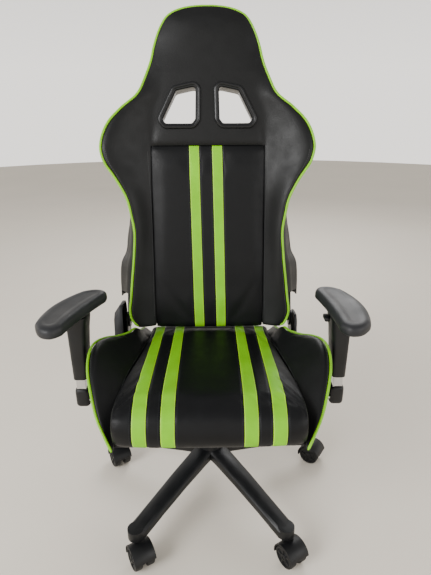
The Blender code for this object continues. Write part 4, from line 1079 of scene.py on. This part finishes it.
def strap_prism(side, clear, low, high):
    """The strap opening with its draft, grown by a clearance, as a closed prism between two depths."""
    profile = [(clear + STRAP_DRAFT * (depth - PAD_FRONT), depth) for depth in (low, high)]
    return surface("opening", strap_rings(profile, side), caps=True)


def cover_skin(seam):
    """The rear shell's outer face: strips from its front rim round the side to the middle line."""
    outline = arch_outline(COVER_OUTLINE, COVER_TOP, COVER_FOOT, 260, 2)
    across, up = outline.T
    spine = np.stack([np.zeros_like(up), np.clip(up, COVER_FOOT, ARCH_CENTRE)], axis=-1)
    edge = np.stack([across, up], axis=-1)
    far = np.linalg.norm(edge - spine, axis=1)
    taper = 0.62 + 0.38 * smooth_step(0.807 - up, 0.0, 0.055)
    distance, share = np.array(COVER_SECTION).T
    share[COVER_SEAM_ROW] -= seam / COVER_REAR
    inner = np.linspace(1, 0, COVER_MIDDLE + 1)[1:]
    first = 1 - distance[None] / far[:, None]
    rest = first[:, -1:] * inner[None]
    parts = np.concatenate([first, rest], axis=1)
    depth = COVER_REAR * taper[:, None] * np.concatenate([share, np.ones(COVER_MIDDLE)])[None]
    depth[:, 0] = PAD_REAR + 0.0006
    place = spine[:, None] + parts[..., None] * (edge - spine)[:, None]
    bulge = 0.0030 * np.cos(0.5 * np.pi * np.clip(parts, 0, 1)) * smooth_step(0.80 - place[..., 1], 0, 0.1)
    return np.concatenate([place, (depth + bulge)[..., None]], axis=-1)


def arm_pad_grid(side):
    """An arm pad: crescent outlines of growing inset, one for each row of the pad's section."""
    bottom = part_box(f"arm_pad_{side}")[0].z
    rows = np.asarray(PAD_SECTION)
    keys = lengths(rows)
    fine = hermite(keys, rows, np.linspace(0, keys[-1], 34))
    angle = np.linspace(0, 2 * np.pi, 121)
    half_long, half_wide = PAD_LENGTH / 2, PAD_WIDTH / 2
    straight = half_long - half_wide
    base_y = straight * np.clip(np.sin(angle) * 1.6, -1, 1)
    inset = np.clip(fine[:, 1], 0, half_wide - 0.0005)[:, None]
    y = base_y[None] + (half_wide - inset) * (np.sin(angle) * np.abs(np.sin(angle)) ** 1.2)[None]
    x = (half_wide - inset) * (np.sign(np.cos(angle)) * np.abs(np.cos(angle)) ** 0.82)[None]
    bow = PAD_BOW * (1 - (y / half_long) ** 2) - 0.5 * PAD_BOW
    z = np.broadcast_to(bottom + fine[:, :1] - 0.0016 * smooth_step(inset, 0.016, 0.030), x.shape)
    sign = SIDES[side]
    local = mirror_x(np.stack([x + bow, y, z], axis=-1), sign)
    local = local + np.array([-sign * PAD_INWARD, -PAD_FORWARD, 0])
    turn = math.radians(sign * TOE_OUT[side])
    cos, sin = math.cos(turn), math.sin(turn)
    axis = JOINTS[f"arm_rest_{side}_turn"]["pos_m"]
    world_x = axis[0] + local[..., 0] * cos - local[..., 1] * sin
    world_y = axis[1] + local[..., 0] * sin + local[..., 1] * cos
    return np.stack([world_x, world_y, local[..., 2]], axis=-1)


def wheel_grid(node):
    """A caster wheel: its profile turned about the axle, with raised spokes on the sunk face."""
    low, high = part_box(node)
    joint = JOINTS[f"{node}_spin"]
    centre = np.array(joint["pos_m"])
    axis = np.array(joint["axis"])
    middle = (np.array(low) + np.array(high)) / 2
    if np.dot(middle - centre, axis) < 0:
        axis = -axis
    steps = 80
    profile = np.asarray(WHEEL_PROFILE)
    angle = np.linspace(0, 2 * np.pi, steps + 1)
    spoke = smooth_step(np.cos(SPOKES * angle), 0.35, 0.75)
    height = np.repeat(profile[:, 1:], steps + 1, axis=1)
    first, last = SPOKED_ROWS
    height[first:last] += SPOKE_HEIGHT * spoke[None]
    side = unit(np.cross(axis, [0, 0, 1.0]))
    up = np.cross(axis, side)
    ring = np.cos(angle)[:, None] * side + np.sin(angle)[:, None] * up
    grid = centre + profile[:, :1, None] * ring[None] + height[..., None] * axis
    return np.concatenate([grid, grid[:1]])


def seat_piping_path(side):
    """The piping along a seat bolster's crest, tucked under at the front."""
    table = np.asarray(BOLSTER_STATIONS)
    rise = table[:, 3] - table[:, 1]
    crest = np.stack([side * (table[:, 2] + 0.0012), table[:, 0], table[:, 3] - 0.12 * rise + 0.0016], axis=1)
    tuck = np.array([[side * 0.2060, -0.3385, 0.4060]])
    return through(np.concatenate([crest[:-1], tuck]), 190)


def back_piping_path():
    """The piping round the backrest, curling in towards the seat at both ends."""
    outline = arch_outline(BACK_OUTLINE, BACK_TOP, BACK_OUTLINE[0][0], 470, 3)
    start = np.array([[0.1850, -0.0030, -0.004], [0.1925, -0.0022, -0.009]])
    end = start[::-1] * np.array([-1.0, 1, 1])
    path = through(np.concatenate([start, outline[::5], end]), 520)
    outward = np.stack([path[:, 0], np.zeros(len(path))], axis=1)
    outward[:, 1] = smooth_step(path[:, 1], 0.70, 0.80)
    outward[:, 0] = np.sign(path[:, 0]) * (1 - outward[:, 1])
    across = path[:, 0] + 0.0010 * outward[:, 0]
    up = path[:, 1] + 0.0010 * outward[:, 1]
    return to_chair(np.stack([across, up, PAD_FRONT + path[:, 2] + 0.0015], axis=1))


def seam_rows(grid, probe, columns, rows, facing):
    """(path, normals) along some columns of a skin; the normals face the given way at the probe point."""
    normals = grid_normals(grid)
    normals = normals * np.sign(normals[probe] @ np.array(facing))
    return [(grid[rows, column], normals[rows, column]) for column in columns]


def stitch_grids(path, normal, pitch=0.0052, length=0.0036, radius=0.00042, around=6):
    """Stitches along a path: short tapered threads that rise a little in the middle, as stacked grids."""
    along = lengths(path)
    centres = np.arange(pitch, along[-1] - pitch, pitch)
    part = np.array([-0.5, -0.38, 0.0, 0.38, 0.5])
    at = centres[:, None] + part[None] * length
    points = np.stack([np.interp(at, along, path[:, k]) for k in range(3)], axis=-1)
    normals = unit(np.stack([np.interp(at, along, normal[:, k]) for k in range(3)], axis=-1))
    tangent = unit(points[:, -1:] - points[:, :1])
    side = unit(np.cross(np.broadcast_to(tangent, normals.shape), normals))
    size = radius * np.array([0.25, 1.0, 1.15, 1.0, 0.25])
    lift = radius * np.array([-0.6, 0.5, 0.9, 0.5, -0.6])
    angle = np.linspace(0, 2 * np.pi, around + 1)[:-1]
    points, normals, side = points[:, :, None], normals[:, :, None], side[:, :, None]
    ring = np.cos(angle)[:, None] * side + np.sin(angle)[:, None] * normals
    return points + lift[:, None, None] * normals + size[:, None, None] * ring


def stitch_mesh(name, rows):
    """All stitches of several rows as one mesh; each is a short closed tube."""
    grids = np.concatenate([stitch_grids(*row) for row in rows])
    count, rings, around = grids.shape[:3]
    index = np.arange(rings * around).reshape(rings, around)
    wrapped = np.concatenate([index, index[:, :1]], axis=1)
    corners = [wrapped[:-1, :-1], wrapped[1:, :-1], wrapped[1:, 1:], wrapped[:-1, 1:]]
    quads = np.stack(corners, axis=-1).reshape(-1, 4)
    size = rings * around
    faces = (quads[None] + (np.arange(count) * size)[:, None, None]).reshape(-1, 4).tolist()
    for end in (index[0], index[-1][::-1]):
        faces += (end[None] + (np.arange(count) * size)[:, None]).tolist()
    mesh = bpy.data.meshes.new(name)
    mesh.from_pydata(grids.reshape(-1, 3).tolist(), [], faces)
    return cleaned(mesh, 60.0)


def screw_grids(centre, axis, radius):
    """A button-head screw with a round socket, standing on a face."""
    head = [(0.0, 0.10), (0.42, 0.10), (0.44, 0.62), (0.50, 0.68), (0.80, 0.52), (0.97, 0.22), (1.0, -0.05)]
    return turned_grid([(r * radius, h * radius) for r, h in head], centre, axis, 24)


def helix_grid(centre_low, centre_high, coil_radius, wire_radius, turns):
    """A coil spring: a circle carried along a helix between two points on the Z axis direction."""
    count = turns * 24
    angle = np.linspace(0, 2 * np.pi * turns, count)
    low, high = np.asarray(centre_low, float), np.asarray(centre_high, float)
    part = np.linspace(0, 1, count)[:, None]
    path = low + part * (high - low)
    path = path + coil_radius * np.stack([np.cos(angle), np.sin(angle), np.zeros(count)], axis=1)
    return tube_grid(path, wire_radius, (0, 0, 1), 10)


# --- settings ---------------------------------------------------------------------------------


def colour(name, description, code):
    """A colour property whose default is an sRGB hex value."""
    return FloatVectorProperty(
        name=name, description=description, subtype="COLOR", size=4, min=0, max=1, default=linear(code)
    )


class ChairColours(bpy.types.PropertyGroup):
    """Colours a user may change, as linear RGBA"""

    black: colour("Black leather", "Panels of the cushion and the backrest", "0E0F11")
    green: colour("Stripe leather", "Stripes on the cushion and the backrest", "7CC800")
    # painted highlight: the lighter green drawn along each stripe's rolled edge for the light it catches
    edge: colour("Rolled edge", "Bright rolled edge beside each stripe", "A8E020")
    thread: colour("Thread", "Topstitching beside the seams", "242628")
    floor: colour("Floor", "Plain studio floor", "E9E1D4")


class ChairPadding(bpy.types.PropertyGroup):
    """How full the upholstery is and how deep its seams lie"""

    crown: FloatProperty(
        name="Crown", description="Fall from a panel's middle to its edges", unit="LENGTH", default=0.0050
    )
    seam: FloatProperty(
        name="Seam depth", description="How far joining seams are pulled in", unit="LENGTH", default=0.0075
    )
    groove: FloatProperty(
        name="Stripe groove", description="Depth of seams beside the stripes", unit="LENGTH", default=0.0014
    )
    puff: FloatProperty(
        name="Puff", description="How far bolsters and wings swell", unit="LENGTH", default=0.0045
    )
    pressure: FloatProperty(name="Pressure", description="Cloth pressure inside each pad", default=2.5)
    cap: FloatProperty(
        name="Swell limit", description="Furthest that cloth may move a point", unit="LENGTH", default=0.0045
    )
    piping: FloatProperty(name="Piping", description="Radius over the cord", unit="LENGTH", default=0.0031)


class ChairStage(bpy.types.PropertyGroup):
    """The camera and the studio"""

    eye: FloatVectorProperty(
        name="Camera",
        description="Where the camera stands",
        subtype="TRANSLATION",
        default=(0.0065, -1.122, 1.094),
    )
    pitch: FloatProperty(
        name="Pitch", description="How far the camera looks down", subtype="ANGLE", default=math.radians(22.1)
    )
    yaw: FloatProperty(
        name="Yaw", description="How far it turns towards +X", subtype="ANGLE", default=math.radians(0.52)
    )
    roll: FloatProperty(name="Roll", description="Camera roll", subtype="ANGLE", default=math.radians(-0.32))
    lens: FloatProperty(name="Lens", description="Focal length in millimetres", default=29.43)
    key_power: FloatProperty(name="Key light", description="Power of the key light in watts", default=115.0)
    room_light: FloatProperty(name="Room light", description="Strength of the even light", default=1.9)
    floor_size: FloatProperty(name="Floor", description="Width of the floor", unit="LENGTH", default=16.0)
    sides: IntProperty(name="Floor sides", description="Sides of the floor disc", default=64, min=8)


# --- materials, made once and shared ----------------------------------------------------------


PAINTS = {}


def paint(name):
    """A shared finish, made when first asked for."""
    if name in PAINTS:
        return PAINTS[name]
    colours = bpy.context.scene.chair_colours
    # the dyes of the leather and thread, and the painted highlight colour of the stripes' rolled edges
    dyes_and_highlight = {key: tuple(getattr(colours, key)) for key in ("black", "green", "edge", "thread")}
    seat_bands = (SEAT_STRIPE_EDGES[:2], SEAT_STRIPE_EDGES[2:])
    makers = {
        "leather": lambda: embossed_leather("black_pu_leather_embossed", "101112", 0.26),
        "leather_rear": lambda: embossed_leather("black_pu_leather_rear_shell", "17181B", 0.32),
        "seat_leather": lambda: striped_leather("striped_pu_leather_seat", seat_bands, True, dyes_and_highlight),
        "back_leather": lambda: striped_leather("striped_pu_leather_back", PANEL_STRIPES, False, dyes_and_highlight),
        "piping": lambda: piping_leather("green_pu_piping", "82C800"),
        "nylon": lambda: moulded("glass_filled_nylon_moulded", "101113", rough=(0.36, 0.52)),
        "tread": lambda: moulded(
            "polyurethane_tread_moulded", "0E0F11", (0.42, 0.60), texture=0.0016, depth=0.0002
        ),
        "abs": lambda: moulded(
            "abs_moulded_textured", "222326", (0.40, 0.55), texture=0.0013, depth=0.0002, scuffs=0.15
        ),
        "gloss_abs": lambda: moulded(
            "abs_moulded_satin", "151618", (0.26, 0.38), texture=0.0020, depth=0.00008, scuffs=0.12
        ),
        "foam": lambda: skinned_foam("polyurethane_integral_skin", "232427"),
        "powder": lambda: powder_coated("powder_coated_steel", "0F1012"),
        "ground": lambda: ground_steel("ground_steel_bright", "B7BABD", (900, 900, 25), (0.24, 0.38)),
        "chrome": lambda: ground_steel("chromed_steel_tube", "C9CACB", (500, 500, 12), (0.14, 0.26)),
        "zinc": lambda: ground_steel("black_zinc_screws", "3A3B3D", (300, 300, 300), (0.32, 0.46)),
        "lining": lambda: felt_lining("spun_bonded_lining", "141517"),
        "thread": lambda: sewing_thread("bonded_polyester_thread", "3E4042"),
        "floor": lambda: matt_floor("matt_rolled_floor_paint", tuple(bpy.context.scene.chair_colours.floor)),
    }
    PAINTS[name] = makers[name]()
    return PAINTS[name]


# --- operators --------------------------------------------------------------------------------


class CHAIR_OT_seat_cushion(bpy.types.Operator):
    """Sew the crowned centre cushion with its four green stripes"""

    bl_idname = "chair.seat_cushion"
    bl_label = "Seat cushion"

    def execute(self, context):
        pad = context.scene.chair_padding
        grid, uv = (rows.transpose(1, 0, 2) for rows in cushion_skin(pad.crown, pad.seam, pad.groove))
        made = linked("seat_cushion_cover", surface("seat_cushion_cover", grid, uv))

        def held(points):
            taper = smooth_step(-points[:, 1], -SEAT_TAPER[0], -SEAT_TAPER[1])
            half = SEAT_REAR_KEYS[-1] + taper * (SEAT_HALF - SEAT_REAR_KEYS[-1])
            at_seam = np.abs(points[:, 0]) > half - 0.004
            return at_seam | (points[:, 2] < 0.412) | (points[:, 1] > 0.060)

        swollen(made, held, pad.pressure, pad.cap)
        smoothed(made)
        settled(made, "seat", paint("seat_leather"), ("seat_cushion",))
        return {"FINISHED"}


class CHAIR_OT_seat_bolsters(bpy.types.Operator):
    """Sew the two seat bolsters, from the cushion's seam over the crest to the board"""

    bl_idname = "chair.seat_bolsters"
    bl_label = "Seat bolsters"

    def execute(self, context):
        pad = context.scene.chair_padding
        for side, sign in SIDES.items():
            grid, uv = bolster_skin(sign, pad.puff)
            made = linked(f"seat_bolster_{side}_cover", surface("bolster", grid, uv, caps=True))

            def held(points):
                reach = np.abs(points[:, 0]) - SEAT_REAR_KEYS[-1]
                low = points[:, 2] < BOARD_TOP + 0.012
                return low | (reach < 0.001) | (points[:, 1] > 0.050) | (points[:, 1] < -0.325)

            swollen(made, held, 0.5 * pad.pressure, 0.5 * pad.cap)
            smoothed(made)
            settled(made, "seat", paint("leather"), (f"seat_bolster_{side}",))
        return {"FINISHED"}


class CHAIR_OT_back_panel(bpy.types.Operator):
    """Sew the backrest's centre panel with its two green stripes"""

    bl_idname = "chair.back_panel"
    bl_label = "Backrest panel"

    def execute(self, context):
        pad = context.scene.chair_padding
        skins = panel_skin(0.6 * pad.crown, 0.7 * pad.seam, pad.groove)
        grid, uv = (rows.transpose(1, 0, 2) for rows in skins)
        made = linked("back_pad_cover", surface("back_pad_cover", grid, uv))

        def held(points):
            up = (points - RECLINE_AXIS) @ np.array([0, math.sin(RECLINE_REST), math.cos(RECLINE_REST)])
            back = (points - RECLINE_AXIS) @ np.array([0, math.cos(RECLINE_REST), -math.sin(RECLINE_REST)])
            edge = np.abs(points[:, 0]) > PANEL_HALF - 0.004
            return edge | (up > PANEL_TOP - 0.004) | (up < 0.012) | (back > -0.030)

        swollen(made, held, pad.pressure, 0.6 * pad.cap)
        smoothed(made)
        settled(made, "backrest", paint("back_leather"), ("back_pad",))
        return {"FINISHED"}


class CHAIR_OT_back_wings(bpy.types.Operator):
    """Sew the two backrest wings, from the centre panel's seam to the piping and the rear shell"""

    bl_idname = "chair.back_wings"
    bl_label = "Backrest wings"

    def execute(self, context):
        pad = context.scene.chair_padding
        for side, sign in SIDES.items():
            grid, uv = wing_skin(sign, pad.puff, 0.7 * pad.seam)
            made = linked(f"back_bolster_{side}_cover", surface("wing", grid, uv, caps=True))
            settled(made, "backrest", paint("leather"), (f"back_bolster_{side}",))
        return {"FINISHED"}


class CHAIR_OT_head_section(bpy.types.Operator):
    """Sew the shoulder and head section and open its two strap holes"""

    bl_idname = "chair.head_section"
    bl_label = "Head section"

    def execute(self, context):
        pad = context.scene.chair_padding
        grid, uv = head_skin(pad.puff, 0.7 * pad.seam)
        made = linked("head_pad_cover", capped_strips("head_pad_cover", grid, uv))
        cut_away(made, [strap_prism(sign, clear=0.0025, low=-0.07, high=0.02) for sign in SIDES.values()])
        settled(made, "backrest", paint("leather"), ("head_pad",))
        return {"FINISHED"}


class CHAIR_OT_piping(bpy.types.Operator):
    """Lay the green piping along the crests of the seat and round the backrest"""

    bl_idname = "chair.piping"
    bl_label = "Piping"

    def execute(self, context):
        radius = context.scene.chair_padding.piping
        for side, sign in SIDES.items():
            tube = tube_grid(seat_piping_path(sign), radius, (1, 0, 0.3 * sign), around=14, taper=0.5)
            mesh = surface("piping", tube, caps=True)
            piece(f"seat_piping_{side}", mesh, "seat", paint("piping"))
        lean = to_chair(np.array([0.0, 0.0, 1.0])) - RECLINE_AXIS
        tube = tube_grid(back_piping_path(), radius, lean, around=14, taper=0.5)
        piece("back_piping", surface("piping", tube, caps=True), "backrest", paint("piping"))
        return {"FINISHED"}


class CHAIR_OT_rear_shell(bpy.types.Operator):
    """Make the covered rear shell with its strap openings and hinge notches"""

    bl_idname = "chair.rear_shell"
    bl_label = "Rear shell"

    def execute(self, context):
        local = cover_skin(seam=0.0012)
        grid = to_chair(local)
        mesh = surface("back_cover_skin", grid, skin_map(grid), outward=False)
        made = linked("back_cover_skin", mesh)
        rear = unit(to_chair(np.array([0.0, 0.0, 1.0])) - RECLINE_AXIS)
        normals = np.array([face.normal for face in mesh.polygons])
        if np.sum(normals @ rear) < 0:
            mesh.flip_normals()
        wall = made.modifiers.new("wall", "SOLIDIFY")
        wall.thickness = COVER_WALL
        wall.offset = -1
        wall.use_even_offset = True
        baked(made)
        inner, outer, low, high = HINGE_NOTCH_HALF, 0.300, -0.100, COVER_NOTCH_TOP
        cutters = [strap_prism(sign, clear=0.0024, low=-0.02, high=0.08) for sign in SIDES.values()]
        for sign in SIDES.values():
            loop = np.array([(inner, low), (outer, low), (outer, high), (inner, high), (inner, low)])
            loop = loop * np.array([sign, 1.0])
            rings = [np.insert(loop, 2, depth, axis=1) for depth in (-0.1, 0.1)]
            cutters.append(surface("notch", to_chair(np.stack(rings)), caps=True))
        cut_away(made, cutters)
        settled(made, "backrest", paint("leather_rear"), ("back_cover",))
        return {"FINISHED"}


class CHAIR_OT_strap_bezels(bpy.types.Operator):
    """Mould the two strap bezels, their lips in front and their rings on the rear shell"""

    bl_idname = "chair.strap_bezels"
    bl_label = "Strap bezels"

    def execute(self, context):
        for side, sign in SIDES.items():
            mesh = surface("bezel", strap_rings((*BEZEL_PROFILE, BEZEL_PROFILE[0]), sign))
            made = piece(
                f"strap_bezel_{side}_moulding", mesh, "backrest", paint("gloss_abs"),
                (f"strap_bezel_{side}",),
            )
            smoothed(made)
            mesh = surface("ring", strap_rings((*RING_PROFILE, RING_PROFILE[0]), sign))
            piece(f"strap_ring_{side}", mesh, "backrest", paint("gloss_abs"))
        return {"FINISHED"}


class CHAIR_OT_arm_pads(bpy.types.Operator):
    """Foam the two crescent arm pads with their rounded rims"""

    bl_idname = "chair.arm_pads"
    bl_label = "Arm pads"

    def execute(self, context):
        for side in SIDES:
            name = f"arm_pad_{side}"
            mesh = surface(f"{name}_skin", arm_pad_grid(side), caps=True)
            made = piece(f"{name}_skin", mesh, f"arm_rest_{side}", paint("foam"), (name,))
        return {"FINISHED"}


class CHAIR_OT_mouldings(bpy.types.Operator):
    """Round the edges of the nylon and ABS mouldings"""

    bl_idname = "chair.mouldings"
    bl_label = "Mouldings"

    def execute(self, context):
        nylon, abs_plastic, gloss = paint("nylon"), paint("abs"), paint("gloss_abs")
        refined("star_base", "moulding", "base", nylon, 0.0016, 3)
        refined("tension_knob", "moulding", "tension_knob", nylon, 0.0008)
        refined("recline_lever", "moulding", "recline_lever", abs_plastic, 0.0008)
        for side in SIDES:
            refined(f"arm_boot_{side}", "moulding", "seat", nylon, 0.0006)
            refined(f"arm_sleeve_{side}", "moulding", f"arm_{side}", nylon, 0.0008)
            refined(f"arm_pad_plate_{side}", "moulding", f"arm_rest_{side}", nylon, 0.0010)
            refined(f"hinge_cover_{side}", "moulding", "seat", abs_plastic, 0.0012, 3)
            lever = f"arm_lever_{side}"
            refined(lever, "moulding", lever, gloss, 0.0006)
        return {"FINISHED"}


class CHAIR_OT_steelwork(bpy.types.Operator):
    """Finish the frame, the mechanism, the hinge plates and the arm uprights"""

    bl_idname = "chair.steelwork"
    bl_label = "Steelwork"

    def execute(self, context):
        painted = {
            "mechanism_housing": "mechanism",
            "lift_lever": "lift_lever",
            "tilt_plate": "seat",
            "back_frame": "backrest",
            "recliner_plate_left": "seat",
            "recliner_plate_right": "seat",
            "lift_cylinder": "base",
        }
        for node, body in painted.items():
            refined(node, "painted", body, paint("powder"), 0.0008)
        bright = {
            "lift_rod": "lift_piston",
            "lift_column": "mechanism",
            "tilt_pin": "mechanism",
            "recline_shaft": "seat",
        }
        for node, body in bright.items():
            refined(node, "ground", body, paint("ground"), 0.0005)
        for side in SIDES:
            refined(f"arm_bracket_{side}", "tube", "seat", paint("chrome"), 0.0012, 3)
        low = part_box("mechanism_housing")[0]
        ends = [(0, low.y + 0.020, low.z + rise) for rise in (0.004, 0.024)]
        coil = helix_grid(*ends, coil_radius=0.0125, wire_radius=0.0018, turns=4)
        mesh = surface("tension_spring", coil, caps=True)
        piece("tension_spring", mesh, "mechanism", paint("ground"))
        return {"FINISHED"}


class CHAIR_OT_casters(bpy.types.Operator):
    """Mould the twin wheels with spoked faces, the hoods and the stems"""

    bl_idname = "chair.casters"
    bl_label = "Casters"

    def execute(self, context):
        for name in CASTERS:
            stem, hood = f"caster_{name}_stem", f"caster_{name}_hood"
            refined(stem, "turned", f"caster_{name}", paint("ground"), 0.0003, 1)
            refined(hood, "moulding", f"caster_{name}", paint("nylon"), 0.0006)
            for side in SIDES:
                node = f"caster_{name}_wheel_{side}"
                mesh = surface("wheel", wheel_grid(node))
                piece(f"{node}_moulding", mesh, node, paint("tread"), (node,))
        return {"FINISHED"}


class CHAIR_OT_dust_covers(bpy.types.Operator):
    """Turn the telescoping dust covers round the gas lift"""

    bl_idname = "chair.dust_covers"
    bl_label = "Dust covers"

    def execute(self, context):
        foot, top = (corner.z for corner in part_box("dust_cover"))
        base_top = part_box("star_base")[1].z
        upper = (  # radius, height
            (0.0325, top - 0.002),
            (0.0340, top),
            (0.0350, top - 0.001),
            (0.0353, top - 0.010),
            (0.0358, foot + 0.012),
            (0.0368, foot + 0.010),
            (0.0368, foot + 0.001),
            (0.0360, foot),
            (0.0345, foot),
            (0.0338, foot + 0.004),
            (0.0325, top - 0.002),
        )
        lower = (
            (0.0292, base_top + 0.1050),
            (0.0300, base_top + 0.1060),
            (0.0306, base_top + 0.1040),
            (0.0312, base_top + 0.0140),
            (0.0322, base_top + 0.0120),
            (0.0322, base_top + 0.0008),
            (0.0296, base_top + 0.0008),
            (0.0292, base_top + 0.1050),
        )
        covers = (("upper", upper, "mechanism", ("dust_cover",)), ("lower", lower, "base", ()))
        for name, profile, body, stands_for in covers:
            mesh = surface("dust_cover", turned_grid(profile, (0, 0, 0), steps=72))
            piece(f"dust_cover_{name}", mesh, body, paint("nylon"), stands_for)
        return {"FINISHED"}


class CHAIR_OT_seat_board(bpy.types.Operator):
    """Wrap the plywood board in its black lining"""

    bl_idname = "chair.seat_board"
    bl_label = "Seat board"

    def execute(self, context):
        refined("seat_board", "lining", "seat", paint("lining"), 0.0008)
        return {"FINISHED"}


class CHAIR_OT_fasteners(bpy.types.Operator):
    """Set the screws of the hinge covers, the hinge plates, the arm bars and the tilt plate"""

    bl_idname = "chair.fasteners"
    bl_label = "Fasteners"

    def execute(self, context):
        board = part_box("seat_board")[0].z
        down = (0, 0, -1)
        grids = []
        for side, sign in SIDES.items():
            low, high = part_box(f"hinge_cover_{side}")
            face = high.x if sign > 0 else low.x
            middle = (low.y + high.y) / 2
            for y, z in ((middle, low.z + 0.018), (middle - 0.006, high.z - 0.052)):
                grids.append(screw_grids((face, y, z), (sign, 0, 0), 0.0042))
            low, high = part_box(f"arm_bracket_{side}")
            for x in (0.090, 0.125, 0.160):
                grids.append(screw_grids((sign * x, (low.y + high.y) / 2, board - 0.0063), down, 0.0058))
            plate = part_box(f"recliner_plate_{side}")[0].z
            for y in (0.070, 0.105):
                grids.append(screw_grids((sign * 0.205, y, plate), down, 0.0055))
            for y in (-0.088, 0.088):
                grids.append(screw_grids((sign * 0.0475, y, board - 0.0055), down, 0.0050))
        piece("seat_screws", merged("seat_screws", grids, sharp=35.0), "seat", paint("zinc"))
        for side, sign in SIDES.items():
            low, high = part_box(f"arm_sleeve_{side}")
            outer = high.x if sign > 0 else low.x
            grid = screw_grids((outer, (low.y + high.y) / 2, high.z - 0.020), (sign, 0, 0), 0.0036)
            mesh = surface("sleeve_screw", grid, caps=True, sharp=35.0)
            piece(f"arm_sleeve_screw_{side}", mesh, f"arm_{side}", paint("zinc"))
        return {"FINISHED"}


class CHAIR_OT_topstitching(bpy.types.Operator):
    """Sew visible thread along the seams of the seat and the backrest"""

    bl_idname = "chair.topstitching"
    bl_label = "Topstitching"

    def execute(self, context):
        pad = context.scene.chair_padding
        seat_rows, back_rows = [], []
        for sign in SIDES.values():
            seat_rows += seam_rows(bolster_skin(sign, pad.puff)[0], *SEAT_STITCHES)
            back_rows += seam_rows(wing_skin(sign, pad.puff, 0.7 * pad.seam)[0], *BACK_STITCHES)
        mesh = stitch_mesh("seat_topstitching", seat_rows)
        piece("seat_topstitching", mesh, "seat", paint("thread"))
        mesh = stitch_mesh("back_topstitching", back_rows)
        piece("back_topstitching", mesh, "backrest", paint("thread"))
        return {"FINISHED"}


class CHAIR_OT_stage(bpy.types.Operator):
    """Set the camera, the soft studio light and the plain pale floor"""

    bl_idname = "chair.stage"
    bl_label = "Stage"

    def execute(self, context):
        stage = context.scene.chair_stage
        colours = context.scene.chair_colours
        camera = bpy.data.cameras.new("camera")
        camera.lens, camera.sensor_width, camera.sensor_fit = stage.lens, 36.0, "AUTO"
        eye = bpy.data.objects.new("camera", camera)
        context.scene.collection.objects.link(eye)
        turn = Matrix.Rotation(-stage.yaw, 4, "Z") @ Matrix.Rotation(math.pi / 2 - stage.pitch, 4, "X")
        eye.matrix_world = Matrix.Translation(stage.eye) @ turn @ Matrix.Rotation(stage.roll, 4, "Z")
        context.scene.camera = eye
        lights = {
            "key": ((-2.4, -2.2, 2.2), 2.0, stage.key_power),
            "fill": ((2.6, -1.9, 1.5), 2.4, 0.22 * stage.key_power),
            "rear": ((0.6, 2.6, 2.6), 2.0, 0.5 * stage.key_power),
        }
        for name, (place, size, power) in lights.items():
            light = bpy.data.lights.new(name, "AREA")
            light.shape, light.size, light.energy = "DISK", size, power
            lamp = bpy.data.objects.new(name, light)
            context.scene.collection.objects.link(lamp)
            aim = Vector((0, 0, 0.7)) - Vector(place)
            lamp.matrix_world = Matrix.Translation(place) @ aim.to_track_quat("-Z", "Y").to_matrix().to_4x4()
        world = bpy.data.worlds.new("studio")
        context.scene.world = world
        world.use_nodes = True
        tree = world.node_tree
        toward = add(tree, "ShaderNodeTexCoord", out="Generated")
        height = add(tree, "ShaderNodeSeparateXYZ", {0: toward}, out=2)
        fade = add(tree, "ShaderNodeMapRange", {"Value": height, "From Min": 0.05, "From Max": 0.65})
        walls = {0: fade, 6: linear("F4F0EA"), 7: linear("8F8D8A")}
        tone = add(tree, "ShaderNodeMix", walls, out=2, data_type="RGBA")
        tree.links.new(tone, tree.nodes["Background"].inputs["Color"])
        tree.nodes["Background"].inputs["Strength"].default_value = stage.room_light
        bm = bmesh.new()
        bmesh.ops.create_circle(bm, cap_ends=True, segments=stage.sides, radius=stage.floor_size / 2)
        mesh = bpy.data.meshes.new("floor")
        bm.to_mesh(mesh)
        bm.free()
        mesh.transform(Matrix.Translation((0, 0, -0.0004)))
        mesh.materials.append(paint("floor"))
        linked("floor", mesh)
        return {"FINISHED"}


OPERATORS = (
    CHAIR_OT_stage,
    CHAIR_OT_seat_cushion,
    CHAIR_OT_seat_bolsters,
    CHAIR_OT_back_panel,
    CHAIR_OT_back_wings,
    CHAIR_OT_head_section,
    CHAIR_OT_piping,
    CHAIR_OT_rear_shell,
    CHAIR_OT_strap_bezels,
    CHAIR_OT_arm_pads,
    CHAIR_OT_mouldings,
    CHAIR_OT_steelwork,
    CHAIR_OT_casters,
    CHAIR_OT_dust_covers,
    CHAIR_OT_seat_board,
    CHAIR_OT_fasteners,
    CHAIR_OT_topstitching,
)


class CHAIR_PT_parts(bpy.types.Panel):
    """Lists the chair's pieces in the 3D view's sidebar"""

    bl_idname = "CHAIR_PT_parts"
    bl_label = "Gaming chair"
    bl_space_type = "VIEW_3D"
    bl_region_type = "UI"
    bl_category = "Chair"

    def draw(self, context):
        for operator in OPERATORS:
            self.layout.operator(operator.bl_idname)


GROUPS = {"chair_colours": ChairColours, "chair_padding": ChairPadding, "chair_stage": ChairStage}


def register():
    """Registers every class and hangs the settings on the scene."""
    for made in (*GROUPS.values(), *OPERATORS, CHAIR_PT_parts):
        bpy.utils.register_class(made)
    for name, group in GROUPS.items():
        setattr(bpy.types.Scene, name, PointerProperty(type=group))


def unregister():
    """Undoes register, last class first."""
    for name in GROUPS:
        delattr(bpy.types.Scene, name)
    for made in (CHAIR_PT_parts, *reversed(OPERATORS), *GROUPS.values()):
        bpy.utils.unregister_class(made)


def main():
    """Runs the operators in order."""
    register()
    for operator in OPERATORS:
        family, name = operator.bl_idname.split(".")
        getattr(getattr(bpy.ops, family), name)()


if __name__ == "__main__":
    main()
